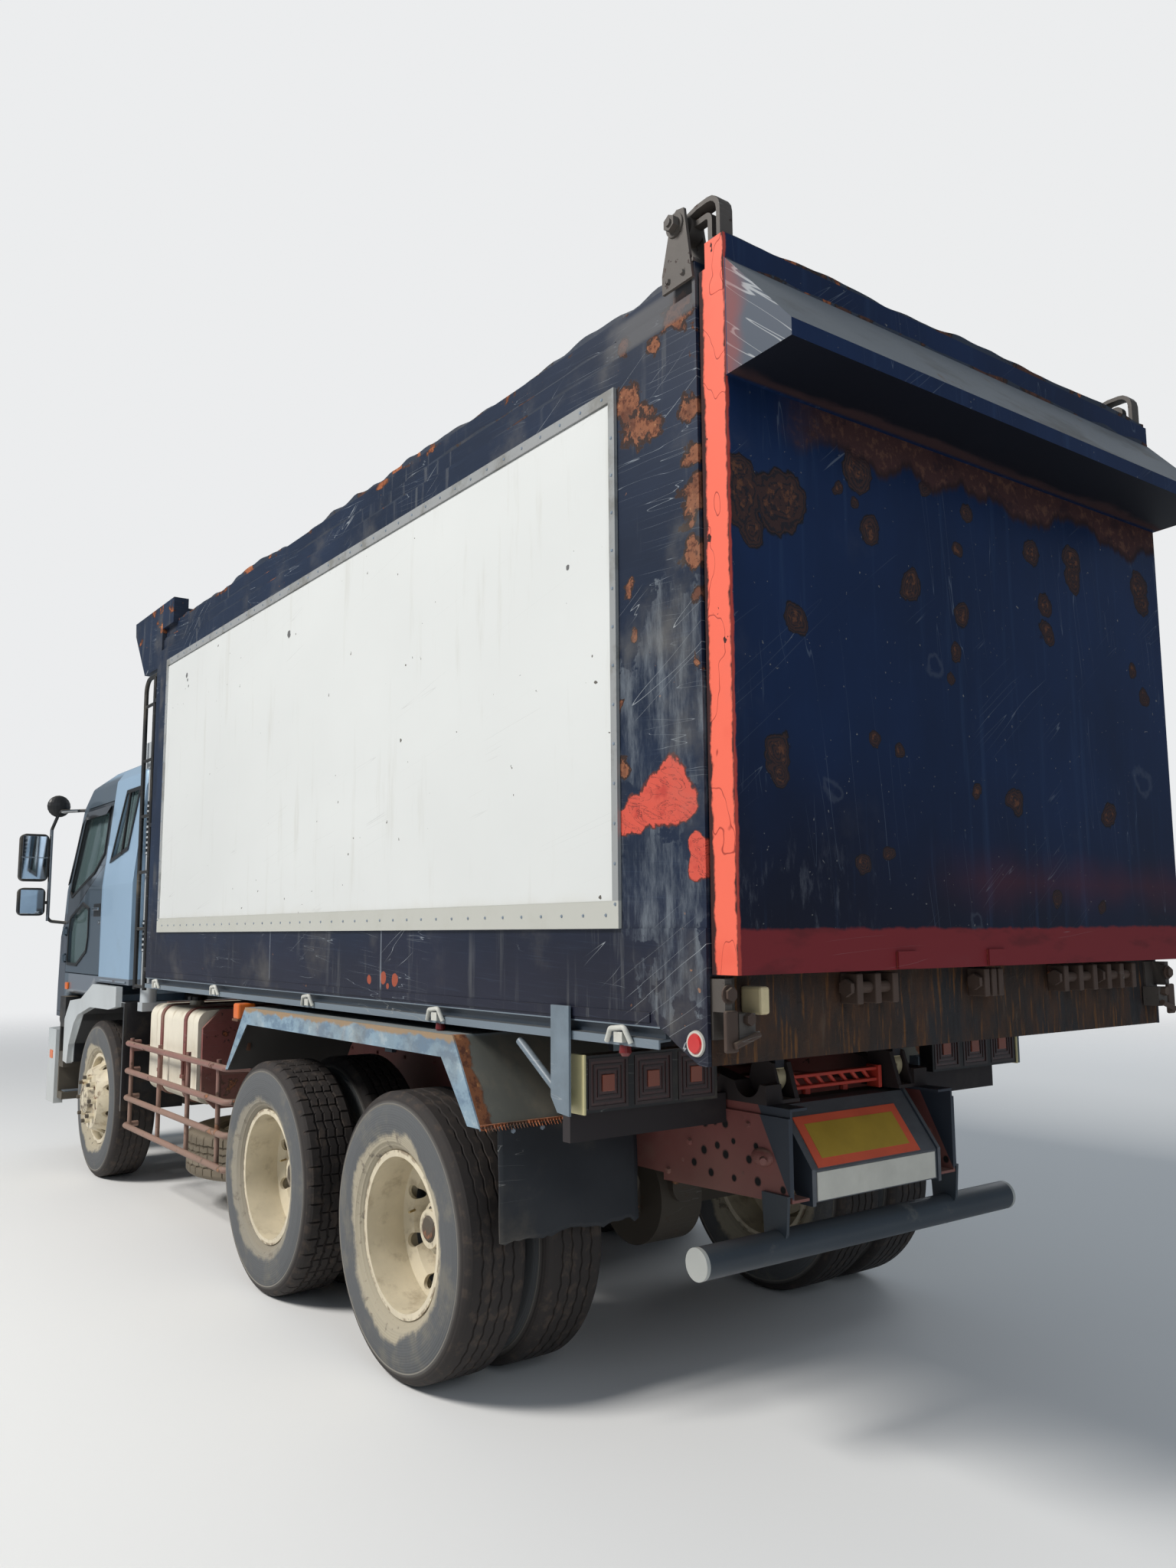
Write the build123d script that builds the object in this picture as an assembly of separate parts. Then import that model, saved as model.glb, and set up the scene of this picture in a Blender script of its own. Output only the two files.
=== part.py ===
# Six-wheel tipper truck with a deep steel bed, in millimetres.
# Frame: +X forward, +Y to the truck's left, +Z up. Z 0 is the ground, X 0 the middle of the
# whole length, Y 0 the centre line.
from build123d import *
import math
import os

os.makedirs("parts", exist_ok=True)

# Driving sizes
REAR_AXLE_X = -1920
BOGIE_SPREAD = 1310
FRONT_WHEELBASE = 3220
MID_AXLE_X = REAR_AXLE_X + BOGIE_SPREAD
FRONT_AXLE_X = MID_AXLE_X + FRONT_WHEELBASE
TYRE_R = 515
WHEEL_Z = 515
TYRE_W = 280
REAR_TRACK_HALF = 925
FRONT_TRACK_HALF = 1025
WHEEL_OFFSET = 165
RIM_FLANGE_R = 298
RIM_BARREL_R = 275
STUD_CIRCLE_R = 142.5

RAIL_OUT_Y = 425
RAIL_BOTTOM = 735
RAIL_TOP = 1035
RAIL_REAR_X = -3170
RAIL_FRONT_X = 3560
SUBFRAME_TOP = 1150

TIP_X = -2970
TIP_Z = 1115
BED_REAR_X = -3585
BED_FRONT_X = 1580
BED_HALF = 1150
BED_FLOOR_TOP = 1460
BED_TOP = 3550
GATE_PIN_X = -3514
GATE_THICKNESS = 102
GATE_TOP = BED_TOP + 40
GATE_SHEET = 8
GATE_POST = 50
GATE_FRONT_X = BED_REAR_X - 7
GATE_FACE_X = GATE_FRONT_X - GATE_THICKNESS
GATE_PIN_Z = GATE_TOP + 102

CAB_REAR_X = 1940
CAB_HALF = 1150
CAB_WALL = 45
CAB_ROUND = 40
CAB_TILT_X = 3800
CAB_TILT_Z = 945
CAB_FLOOR_Z = 1290
DOOR_HINGE_X = 3672
DOOR_HINGE_Y = CAB_HALF + 15
KINGPIN_Y = 870

HOIST_LOW = (400, 650)
HOIST_HIGH = (-1700, 1260)
HOIST_Y = 205

RUNNING_GAP = 0.5
REAR_SPINDLE_R = 51.5
FRONT_SPINDLE_R = 46.5
SPRING_END_Z = 675
KINGPIN_R = 22
TIP_PIN_R = 28
HOIST_PIN_R = 26
ROD_R = 50
GATE_PIN_R = 18
TILT_PIN_R = 18
DOOR_PIN_R = 8


def box(x0, x1, y0, y1, z0, z1):
    return Pos((x0 + x1) / 2, (y0 + y1) / 2, (z0 + z1) / 2) * Box(x1 - x0, y1 - y0, z1 - z0)


def side_prism(points, y0, y1):
    """An outline of (x, z) points, extruded across the truck from y0 to y1."""
    outline = Face(Wire.make_polygon([(x, y0, z) for x, z in points]))
    return Solid.extrude(outline, Vector(0, y1 - y0, 0))


def long_prism(points, x0, x1):
    """An outline of (y, z) points, extruded along the truck from x0 to x1."""
    outline = Face(Wire.make_polygon([(x0, y, z) for y, z in points]))
    return Solid.extrude(outline, Vector(x1 - x0, 0, 0))


def plan_prism(points, z0, z1):
    """An outline of (x, y) points, extruded upwards from z0 to z1."""
    outline = Face(Wire.make_polygon([(x, y, z0) for x, y in points]))
    return Solid.extrude(outline, Vector(0, 0, z1 - z0))


def cross_cylinder(x, z, r, y0, y1):
    return Pos(x, (y0 + y1) / 2, z) * Rot(90, 0, 0) * Cylinder(r, abs(y1 - y0))


def long_cylinder(y, z, r, x0, x1):
    return Pos((x0 + x1) / 2, y, z) * Rot(0, 90, 0) * Cylinder(r, abs(x1 - x0))


def upright_cylinder(x, y, r, z0, z1):
    return Pos(x, y, (z0 + z1) / 2) * Cylinder(r, z1 - z0)


def rod_between(p, q, r):
    """A round bar from point p to point q."""
    start = Vector(p)
    run = Vector(q) - start
    return Solid.make_cylinder(r, run.length, Plane(origin=start, z_dir=run))


def pipe(points, r, bend=0):
    """A round pipe through the points, with its corners bent to the given radius."""
    path = FilletPolyline(*points, radius=bend) if bend else Polyline(*points)
    start = Plane(origin=path @ 0, z_dir=path % 0)
    return sweep(start * Circle(r), path=path)


def inset(points, t):
    """The closed outline moved inwards by t, with its corners kept sharp."""
    area = sum(a[0] * b[1] - b[0] * a[1] for a, b in zip(points, points[1:] + points[:1]))
    side = 1 if area > 0 else -1
    moved = []
    for i, here in enumerate(points):
        before = points[i - 1]
        after = points[(i + 1) % len(points)]
        u = unit(before, here)
        v = unit(here, after)
        turn = 1 + u[0] * v[0] + u[1] * v[1]
        moved.append((here[0] + side * t * (-u[1] - v[1]) / turn,
                      here[1] + side * t * (u[0] + v[0]) / turn))
    return moved


def quarter(x, z, r, start, end, steps=4):
    """Points of an arc about (x, z), from start to end degrees."""
    angles = [math.radians(start + (end - start) * k / steps) for k in range(steps + 1)]
    return [(x + r * math.cos(a), z + r * math.sin(a)) for a in angles]


def flat_bar(line, t):
    """The outline of a bar of thickness t that lies on the inner, right-hand side of a line."""
    moved = []
    for i, here in enumerate(line):
        before = line[i - 1] if i else None
        after = line[i + 1] if i + 1 < len(line) else None
        u = unit(before, here) if before else unit(here, after)
        v = unit(here, after) if after else u
        turn = 1 + u[0] * v[0] + u[1] * v[1]
        moved.append((here[0] + t * (-u[1] - v[1]) / turn, here[1] + t * (u[0] + v[0]) / turn))
    return line + moved[::-1]


def unit(a, b):
    length = math.hypot(b[0] - a[0], b[1] - a[1])
    return (b[0] - a[0]) / length, (b[1] - a[1]) / length


def turned(points, x, y, z):
    """An outline of (radius, y) points turned round a cross-wise axle at x, z, centred on y."""
    outline = Face(Wire.make_polygon([(x + r, y + w, z) for r, w in points]))
    return revolve(outline, axis=Axis((x, 0, z), (0, 1, 0)), revolution_arc=360)


def mirror_y(shape):
    return mirror(shape, about=Plane.XZ)


def both(shape):
    """The left-hand solids and their right-hand twins."""
    solids = shape if isinstance(shape, list) else [shape]
    return solids + [mirror_y(s) for s in solids]


def save(name, shapes):
    solids = []
    for shape in shapes if isinstance(shapes, list) else [shapes]:
        solids.extend(shape.solids())
    node = solids[0] if len(solids) == 1 else Compound(children=solids)
    export_step(node, f"parts/{name}.step")
    print(name, len(solids), "solids")


def fuse(shapes):
    first = shapes[0]
    return first.fuse(*shapes[1:]) if len(shapes) > 1 else first


# Wheels
TYRE_OUTLINE = [(291, -93), (301, -93), (400, -140), (492, -124), (515, -100),
                (515, 100), (492, 124), (400, 140), (301, 93), (291, 93)]
BARREL_OUTLINE = [(RIM_FLANGE_R, 106), (RIM_FLANGE_R, 94), (290, 94), (290, -94),
                  (RIM_FLANGE_R, -94), (RIM_FLANGE_R, -106), (RIM_BARREL_R, -106), (RIM_BARREL_R, 106)]


def tyre(x, y):
    return turned(TYRE_OUTLINE, x, y, WHEEL_Z)


def rim(x, y, out):
    """One steel disc wheel whose disc stands off the tyre's middle towards out (+1 or -1)."""
    flat = WHEEL_OFFSET * out
    edge = 62 * out
    plate = 12 * out
    disc = [(RIM_BARREL_R + 4, edge), (232, edge + 24 * out), (195, flat), (110, flat),
            (110, flat - plate), (190, flat - plate), (226, edge + 10 * out), (RIM_BARREL_R + 4, edge - plate)]
    wheel = turned(BARREL_OUTLINE, x, y, WHEEL_Z).fuse(turned(disc, x, y, WHEEL_Z))
    for k in range(8):
        a = math.radians(22.5 + 45 * k)
        hole_x = x + 236 * math.cos(a)
        hole_z = WHEEL_Z + 236 * math.sin(a)
        wheel = wheel.cut(cross_cylinder(hole_x, hole_z, 27, y + 20 * out, y + 150 * out))
    return wheel


def wheel_nuts(x, y0, y1):
    nuts = []
    for k in range(8):
        a = math.radians(45 * k)
        nut = Pos(x + STUD_CIRCLE_R * math.cos(a), (y0 + y1) / 2, WHEEL_Z + STUD_CIRCLE_R * math.sin(a))
        nuts.append(nut * Rot(90, 0, 0) * extrude(RegularPolygon(20, 6), abs(y1 - y0) / 2, both=True))
    return nuts


def dual_wheel(name, axle_x, side):
    outer_y = REAR_TRACK_HALF + WHEEL_OFFSET
    inner_y = REAR_TRACK_HALF - WHEEL_OFFSET
    tyres = [tyre(axle_x, outer_y), tyre(axle_x, inner_y)]
    face = REAR_TRACK_HALF + 12
    bore = REAR_SPINDLE_R + RUNNING_GAP
    hub = [(bore, -140), (205, -140), (205, -12), (190, -12), (112, -12), (112, 15),
           (96, 20), (96, 120), (70, 128), (70, 150), (0.01, 150), (0.01, 60), (bore, 60)]
    rims = fuse([rim(axle_x, outer_y, -1), rim(axle_x, inner_y, 1),
                 turned(hub, axle_x, REAR_TRACK_HALF, WHEEL_Z), *wheel_nuts(axle_x, face - 1, face + 34)])
    if side < 0:
        tyres = [mirror_y(t) for t in tyres]
        rims = mirror_y(rims)
    save(f"{name}_tyres", tyres)
    save(f"{name}_rims", rims)


def front_wheel(name, side):
    y = FRONT_TRACK_HALF
    face = y + WHEEL_OFFSET
    ring = tyre(FRONT_AXLE_X, y)
    bore = FRONT_SPINDLE_R + RUNNING_GAP
    hub = [(bore, -60), (185, -60), (185, 60), (140, 70), (112, 150), (112, 166), (98, 172), (92, 200),
           (60, 214), (0.01, 214), (0.01, 150), (bore, 150)]
    wheel = fuse([rim(FRONT_AXLE_X, y, 1), turned(hub, FRONT_AXLE_X, y, WHEEL_Z),
                  *wheel_nuts(FRONT_AXLE_X, face - 1, face + 30)])
    if side < 0:
        ring = mirror_y(ring)
        wheel = mirror_y(wheel)
    save(f"{name}_tyre", ring)
    save(f"{name}_rim", wheel)


def knuckle(name, side):
    """Steering knuckle: two eyes on the kingpin, a back plate and the wheel's spindle."""
    x = FRONT_AXLE_X
    upper = box(x - 55, x + 55, KINGPIN_Y - 50, KINGPIN_Y + 72, WHEEL_Z + 66, WHEEL_Z + 112)
    lower = box(x - 55, x + 55, KINGPIN_Y - 50, KINGPIN_Y + 72, WHEEL_Z - 112, WHEEL_Z - 66)
    plate = box(x - 80, x + 80, KINGPIN_Y + 56, KINGPIN_Y + 82, WHEEL_Z - 112, WHEEL_Z + 112)
    spindle = cross_cylinder(x, WHEEL_Z, FRONT_SPINDLE_R, KINGPIN_Y + 80, FRONT_TRACK_HALF + 140)
    arm = box(x - 230, x - 40, KINGPIN_Y - 40, KINGPIN_Y + 10, WHEEL_Z - 112, WHEEL_Z - 82)
    piece = fuse([upper, lower, plate, spindle, arm])
    piece = piece.cut(upright_cylinder(x, KINGPIN_Y, KINGPIN_R + RUNNING_GAP, WHEEL_Z - 130, WHEEL_Z + 130))
    save(name, piece if side > 0 else mirror_y(piece))


# Chassis
def c_rail(side, x0, x1, z0, z1, y_out, depth, web):
    """A channel whose open side faces the centre line."""
    y_in = y_out - depth
    section = [(y_out, z0), (y_out, z1), (y_in, z1), (y_in, z1 - web), (y_out - web, z1 - web),
               (y_out - web, z0 + web), (y_in, z0 + web), (y_in, z0)]
    return long_prism([(side * y, z) for y, z in section], x0, x1)


def frame():
    rails = []
    for side in (1, -1):
        rail = c_rail(side, RAIL_REAR_X, RAIL_FRONT_X, RAIL_BOTTOM, RAIL_TOP, RAIL_OUT_Y, 80, 9)
        plate = [(RAIL_REAR_X, 755), (RAIL_REAR_X, 1005), (RAIL_REAR_X + 640, 1005),
                 (RAIL_REAR_X + 640, 712), (RAIL_REAR_X + 100, 730)]
        y0, y1 = sorted((side * RAIL_OUT_Y, side * (RAIL_OUT_Y + 9)))
        rails.append(rail.fuse(side_prism(plate, y0, y1)))
    save("frame_rails", rails)


CROSS_MEMBERS = [  # x centre, half length, z bottom, z top
    (-2900, 40, 750, 1020),
    (-2300, 40, 745, 1020),
    (-1265, 90, 745, 900),
    (535, 60, 745, 1020),
    (1560, 40, 900, 1020),
    (3500, 50, 760, 1010),
]


def cross_members():
    pieces = []
    for x, half, z0, z1 in CROSS_MEMBERS:
        y = RAIL_OUT_Y - 9
        section = [(x - half, z0), (x + half, z0), (x + half, z0 + 9), (x - half + 9, z0 + 9),
                   (x - half + 9, z1 - 9), (x + half, z1 - 9), (x + half, z1), (x - half, z1)]
        pieces.append(side_prism(section, -y, y))
    return pieces


def subframe():
    """Long timbers on the rails that the bed rests on, with the tipping hinge's ears."""
    pieces = []
    for side in (1, -1):
        y0, y1 = sorted((side * 350, side * 425))
        beam = side_prism([(TIP_X - 90, RAIL_TOP), (TIP_X - 90, 1100), (TIP_X + 70, SUBFRAME_TOP - 45),
                           (TIP_X + 270, SUBFRAME_TOP),
                           (1450, SUBFRAME_TOP), (1500, 1100), (1500, RAIL_TOP)], y0, y1)
        beam = beam.cut(cross_cylinder(TIP_X, TIP_Z, 62, -500, 500))
        ears = []
        for a, b in ((262, 282), (338, 350)):
            e0, e1 = sorted((side * a, side * b))
            ears.append(side_prism([(TIP_X - 90, RAIL_TOP), (TIP_X - 50, 1165), (TIP_X, 1180), (TIP_X + 50, 1165),
                                    (TIP_X + 90, RAIL_TOP)], e0, e1))
        foot_y = sorted((side * 262, side * 350))
        ears.append(box(TIP_X - 90, TIP_X + 90, foot_y[0], foot_y[1], RAIL_TOP, RAIL_TOP + 12))
        pin_y = sorted((side * 262, side * 350))
        ears.append(cross_cylinder(TIP_X, TIP_Z, TIP_PIN_R, pin_y[0], pin_y[1]))
        pieces.append(fuse([beam, *ears]))
    legs = [box(1960, 2030, *sorted((side * 350, side * RAIL_OUT_Y)), RAIL_TOP, CAB_FLOOR_Z - 60) for side in (1, -1)]
    rest = box(1960, 2030, -RAIL_OUT_Y, RAIL_OUT_Y, CAB_FLOOR_Z - 70, CAB_FLOOR_Z - RUNNING_GAP)
    pieces.append(fuse([rest, *legs]))
    save("subframe", [*pieces, *cross_members(), *hoist_cradle()])


def front_axle():
    """Dropped beam with an eye at each end for the kingpin."""
    x = FRONT_AXLE_X
    half = [(0, 415), (520, 415), (700, 470), (KINGPIN_Y - 30, 470), (KINGPIN_Y - 30, 560), (690, 560),
            (510, 510), (0, 510)]
    outline = half + [(-y, z) for y, z in reversed(half) if y]
    beam = long_prism(outline, x - 50, x + 50)
    parts = [beam]
    for side in (1, -1):
        parts.append(upright_cylinder(x, side * KINGPIN_Y, 44, WHEEL_Z - 58, WHEEL_Z + 58))
        parts.append(upright_cylinder(x, side * KINGPIN_Y, KINGPIN_R, WHEEL_Z - 120, WHEEL_Z + 120))
    save("front_axle", fuse(parts))


def rear_axles():
    pieces = []
    for x in (REAR_AXLE_X, MID_AXLE_X):
        tube = box(x - 65, x + 65, -760, 760, WHEEL_Z - 65, WHEEL_Z + 65)
        bowl = cross_cylinder(x, WHEEL_Z, 205, -110, 110)
        nose = long_cylinder(0, WHEEL_Z + 60, 100, x, x + 300)
        tail = long_cylinder(0, WHEEL_Z + 60, 70, x - 230, x)
        ends = [cross_cylinder(x, WHEEL_Z, REAR_SPINDLE_R, s * 750, s * 900) for s in (1, -1)]
        pads = [box(x - 40, x + 40, *sorted((s * 500, s * 590)), WHEEL_Z, SPRING_END_Z) for s in (1, -1)]
        pieces.append(fuse([tube, bowl, nose, tail, *ends, *pads]))
    save("rear_axles", pieces)


def leaf_pack(x, half, y, z, leaves, thick, camber):
    """Stacked leaves, each shorter than the one above it, bowed by the camber."""
    pieces = []
    for k in range(leaves):
        reach = half * (1 - 0.8 * k / leaves)
        rise = camber * reach / half
        low = z - thick * (k + 1)
        outline = [(x - reach, low + rise), (x, low), (x + reach, low + rise), (x + reach, low + rise + thick),
                   (x, low + thick), (x - reach, low + rise + thick)]
        pieces.append(side_prism(outline, y - 45, y + 45))
    return fuse(pieces)


def springs():
    pieces = []
    for side in (1, -1):
        y = side * 385
        front = leaf_pack(FRONT_AXLE_X, 720, y, 600, 5, 18, 40)
        hangers = [box(FRONT_AXLE_X + s * 720 - 40, FRONT_AXLE_X + s * 720 + 40, y - 45, y + 45,
                       600, RAIL_BOTTOM) for s in (1, -1)]
        pieces.append(fuse([front, *hangers]))
        bogie_x = (REAR_AXLE_X + MID_AXLE_X) / 2
        pieces.append(leaf_pack(bogie_x, 690, side * 545, SPRING_END_Z + 45, 7, 20, -25))
    save("suspension", pieces + bogie())


def bogie():
    """Trunnion brackets on the rails, with the rods that hold the two axles."""
    x = (REAR_AXLE_X + MID_AXLE_X) / 2
    pieces = []
    for side in (1, -1):
        y0, y1 = sorted((side * RAIL_OUT_Y, side * 490))
        hanger = side_prism([(x - 220, 1000), (x + 220, 1000), (x + 90, 480), (x - 90, 480)], y0, y1)
        hub = cross_cylinder(x, 530, 75, side * 490, side * 600)
        cap = box(x - 100, x + 100, *sorted((side * 492, side * 600)), 530, 580)
        reach = BOGIE_SPREAD / 2 - 65
        rod = long_cylinder(side * 455, 500, 26, x - reach, x + reach)
        pieces.append(fuse([hanger, hub, cap, rod]))
    return pieces


def driveline():
    gearbox_x = 1655
    shaft_z = 690
    nose_z = WHEEL_Z + 60
    long_shaft = fuse([rod_between((gearbox_x - 20, 0, shaft_z), (MID_AXLE_X + 320, 0, nose_z), 48),
                       long_cylinder(0, shaft_z, 62, gearbox_x - 35, gearbox_x),
                       long_cylinder(0, nose_z, 62, MID_AXLE_X + 300, MID_AXLE_X + 335)])
    short_shaft = long_cylinder(0, nose_z, 45, REAR_AXLE_X + 300, MID_AXLE_X - 230)
    engine = box(2250, 3400, -325, 325, 660, 1165)
    gearbox = box(gearbox_x, 2250, -190, 190, 560, 960)
    feet = [box(x - 40, x + 40, 9 - RAIL_OUT_Y, RAIL_OUT_Y - 9, 780, 820) for x in (2340, 3310)]
    save("driveline", [fuse([engine, gearbox, *feet]), long_shaft, short_shaft])


def fuel_tank():
    """Left-hand tank with rounded edges, on two cradles, with two straps over it."""
    x0, x1 = 800, 1700
    y0, y1 = 450, 1070
    z0, z1 = 660, 1185
    body = box(x0, x1, y0, y1, z0, z1)
    body = fillet(body.edges().filter_by(Axis.X), 75)
    neck = upright_cylinder(1350, 900, 42, z1 - 20, z1 + 34)
    save("fuel_tank", body.fuse(neck))
    straps = []
    for x in (1010, 1450):
        outer = fillet(box(x - 22, x + 22, y0 - 8, y1 + 8, z0 - 8, z1 + 8).edges().filter_by(Axis.X), 80)
        hook = box(x - 22, x + 22, RAIL_OUT_Y, y0 - 4, 760, 1000)
        tank_hole = fillet(box(x - 40, x + 40, y0, y1, z0, z1).edges().filter_by(Axis.X), 75)
        straps.append(outer.fuse(hook).cut(tank_hole))
    plates = []
    for x in (1725, 755):
        outline = [(RAIL_OUT_Y, 740), (520, 640), (980, 640), (1060, 720), (1060, 1090), (960, 1190), (520, 1190),
                   (RAIL_OUT_Y, 1030)]
        plates.append(long_prism(outline, x - 12, x + 12))
    save("tank_mounts", straps + plates)


GUARD_RAIL_Z = [930, 760, 594, 424]
GUARD_POST_X = [1900, 1313, 784, 286]


def side_guards():
    """Four bars and four posts on each side, ahead of the bogie."""
    pieces = []
    y = BED_HALF
    for z in GUARD_RAIL_Z:
        pieces.append(pipe([(1940, y - 90, z), (1930, y, z), (100, y, z), (40, y - 110, z)], 17, 60))
    for x in GUARD_POST_X:
        pieces.append(upright_cylinder(x, y - 28, 13, 400, 960))
    guard = fuse(pieces)
    arms = [box(x - 20, x + 20, RAIL_OUT_Y, y - 20, 880, 912) for x in (1900, 286)]
    save("side_guards", both([fuse([guard, *arms])]))


def rear_frame_gear():
    bar = cross_cylinder(-3114, 595, 51, -795, 795)
    stays = []
    for side in (1, -1):
        y0, y1 = sorted((side * (RAIL_OUT_Y + 9), side * (RAIL_OUT_Y + 21)))
        stays.append(side_prism([(-3170, 760), (-3160, 640), (-3114, 540), (-3060, 600), (-3050, 760)], y0, y1))
    save("underrun_bar", fuse([bar, *stays]))
    slope = [(-3170, 826), (-3170, 725), (-3150, 725), (-3150, 822), (-3000, 1010), (-2940, 1010), (-2940, 1022),
             (-3020, 1022)]
    cheek = [(-3176, 832), (-3176, 715), (-3120, 715), (-2940, 985), (-2940, 1028), (-3026, 1028)]
    cheeks = [side_prism(cheek, *sorted((side * 320, side * 336))) for side in (1, -1)]
    save("reflector_box", fuse([side_prism(slope, -322, 322), *cheeks]))


def lamps():
    boxes = []
    lenses = []
    end = BED_HALF - 32
    for side in (1, -1):
        y0, y1 = sorted((side * (end - 548), side * end))
        housing = box(-2978, -2915, y0, y1, 1064, 1238)
        for k in range(3):
            c = side * (end - 91.3 - 182.7 * k)
            housing = housing.cut(box(-2980, -2962, c - 80, c + 80, 1076, 1226))
            lenses.append(box(-2976, -2962, c - 78, c + 78, 1078, 1224))
        boxes.append(housing)
    save("lamp_boxes", boxes)
    save("lamp_lenses", lenses)
    stays = []
    for side in (1, -1):
        y0, y1 = sorted((side * (BED_HALF + 10), side * (BED_HALF + 18)))
        plate = side_prism([(-2963, 1392), (-2865, 1392), (-2865, 1110), (-2900, 1064), (-2963, 1058)], y0, y1)
        y2, y3 = sorted((side * (end - 558), side * (BED_HALF + 10)))
        arm = box(-2915, -2873, y2, y3, 1080, 1120)
        y4, y5 = sorted((side * (RAIL_OUT_Y + 9), side * (BED_HALF - 50)))
        bracket = box(-2873, -2833, y4, y5, 960, 1060)
        brace = rod_between((-2880, side * (BED_HALF - 20), 1100), (-2630, side * (BED_HALF - 20), 1262), 14)
        foot = box(-2915, -2833, *sorted((side * (end - 558), side * (BED_HALF - 50))), 1055, 1085)
        stays.append(fuse([plate, arm, foot, bracket, brace]))
    save("lamp_stays", stays)


FENDER_OUTLINE = [(-50, 947), (-300, 1262), (-2316, 1262), (-2500, 966)]


def rear_fenders():
    """Bent steel guards over the bogie, with a deep outer rim and brackets to the rail."""
    pieces = []
    for side in (1, -1):
        y0, y1 = sorted((side * 560, side * (BED_HALF + 55)))
        outer = FENDER_OUTLINE + [(x, z - 7) for x, z in reversed(FENDER_OUTLINE)]
        shell = side_prism(outer, y0, y1)
        rim_in = [(-50, 947), (-82, 947), (-330, 1182), (-2236, 1182), (-2420, 966), (-2500, 966),
                  (-2316, 1262), (-300, 1262)]
        r0, r1 = sorted((side * (BED_HALF + 49), side * (BED_HALF + 57)))
        parts = [shell, side_prism(rim_in, r0, r1)]
        for x in (-330, -1265, -2290):
            b0, b1 = sorted((side * 436, side * 900))
            parts.append(box(x - 25, x + 25, b0, b1, 1200, 1258))
            parts.append(box(x - 40, x + 40, *sorted((side * RAIL_OUT_Y, side * 448)), 1003, 1140))
            parts.append(box(x - 40, x + 40, *sorted((side * 436, side * 448)), 1130, 1258))
        pieces.append(fuse(parts))
    save("rear_fenders", pieces)
    flaps = [box(-2508, -2500, *sorted((side * 550, side * (BED_HALF - 5))), 560, 966) for side in (1, -1)]
    save("mudflaps", flaps)


def front_gear():
    """Bumper with its lamps, fenders and steps, all carried by the frame under the cab."""
    y = CAB_HALF
    plan = [(3560, -y - 65), (3800, -y - 65), (3900, 30 - y), (3948, 270 - y), (3948, y - 270), (3900, y - 30),
            (3800, y + 65), (3560, y + 65)]
    shell = plan_prism(plan, 380, 915).cut(plan_prism([(3500, -y), (3790, -y), (3880, 250 - y),
                                                       (3880, y - 250), (3790, y), (3500, y)], 420, 875))
    shell = shell.cut(plan_prism([(3500, -y), (3760, -y), (3760, y), (3500, y)], 380, 925))
    lamps = []
    for side in (1, -1):
        y0, y1 = sorted((side * 700, side * 980))
        shell = shell.cut(box(3860, 3960, y0, y1, 620, 800))
        lamps.append(box(3885, 3922, y0, y1, 620, 800))
    grips = []
    for side in (1, -1):
        shell = shell.cut(box(3740, 3860, *sorted((side * 365, side * 420)), 840, 930))
        grips.append(box(RAIL_FRONT_X, 3880, *sorted((side * 360, side * RAIL_OUT_Y)), 740, 870))
        for a in (360, RAIL_OUT_Y - 12):
            ear = [(3750, 860), (3760, CAB_TILT_Z), (CAB_TILT_X - 25, CAB_TILT_Z + 38),
                   (CAB_TILT_X + 25, CAB_TILT_Z + 38), (3840, CAB_TILT_Z), (3850, 860)]
            grips.append(side_prism(ear, *sorted((side * a, side * (a + 12)))))
        grips.append(cross_cylinder(CAB_TILT_X, CAB_TILT_Z, TILT_PIN_R, side * 362, side * (RAIL_OUT_Y - 2)))
    save("front_bumper", fuse([shell, *grips]))
    save("head_lamps", lamps)
    fenders = []
    steps = []
    for side in (1, -1):
        arch_out = [(2056, 1150), (2056, 1278), (2650, 1278), (2960, 1168), (3270, 1140), (3415, 1000),
                    (3415, 700), (3300, 690), (3262, 830), (3140, 985), (3035, 1050), (2700, 1120), (2237, 1126)]
        y0, y1 = sorted((side * (CAB_HALF + 5), side * (CAB_HALF + 45)))
        skin = side_prism(arch_out, y0, y1)
        y2, y3 = sorted((side * 740, side * (CAB_HALF + 10)))
        top = side_prism([(2056, 1150), (2056, 1180), (2700, 1150), (3060, 1080), (3300, 860), (3300, 700),
                          (3270, 700), (3262, 830), (3040, 1050), (2690, 1120)], y2, y3)
        high_arm = [box(2070, 2110, *sorted((side * RAIL_OUT_Y, side * 745)), 1150, 1172),
                    box(2070, 2110, *sorted((side * RAIL_OUT_Y, side * (RAIL_OUT_Y + 12))), 900, 1172)]
        low_arm = box(3272, 3302, *sorted((side * RAIL_OUT_Y, side * 745)), 745, 775)
        guard_y = sorted((side * 770, side * (CAB_HALF + 10)))
        guard = side_prism([(1975, 500), (1975, 1180), (2060, 1180), (2060, 1150), (2000, 1150), (2000, 500)], *guard_y)
        fenders.append(fuse([skin, top, *high_arm, low_arm, guard]))
        y4, y5 = sorted((side * 800, side * (CAB_HALF + 40)))
        step = side_prism([(3420, 420), (3420, 1160), (3590, 1160), (3590, 985), (3560, 960), (3560, 420)], y4, y5)
        y6, y7 = sorted((side * 900, side * (CAB_HALF + 50)))
        step = step.cut(side_prism([(3400, 760), (3400, 940), (3535, 940), (3535, 760)], y6, y7))
        step = step.cut(side_prism([(3400, 470), (3400, 650), (3535, 650), (3535, 470)], y6, y7))
        steps.append(step.fuse(box(3470, 3520, *sorted((side * RAIL_OUT_Y, side * 805)), 960, 1000)))
    save("front_fenders", fenders)
    save("cab_steps", steps)


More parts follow.
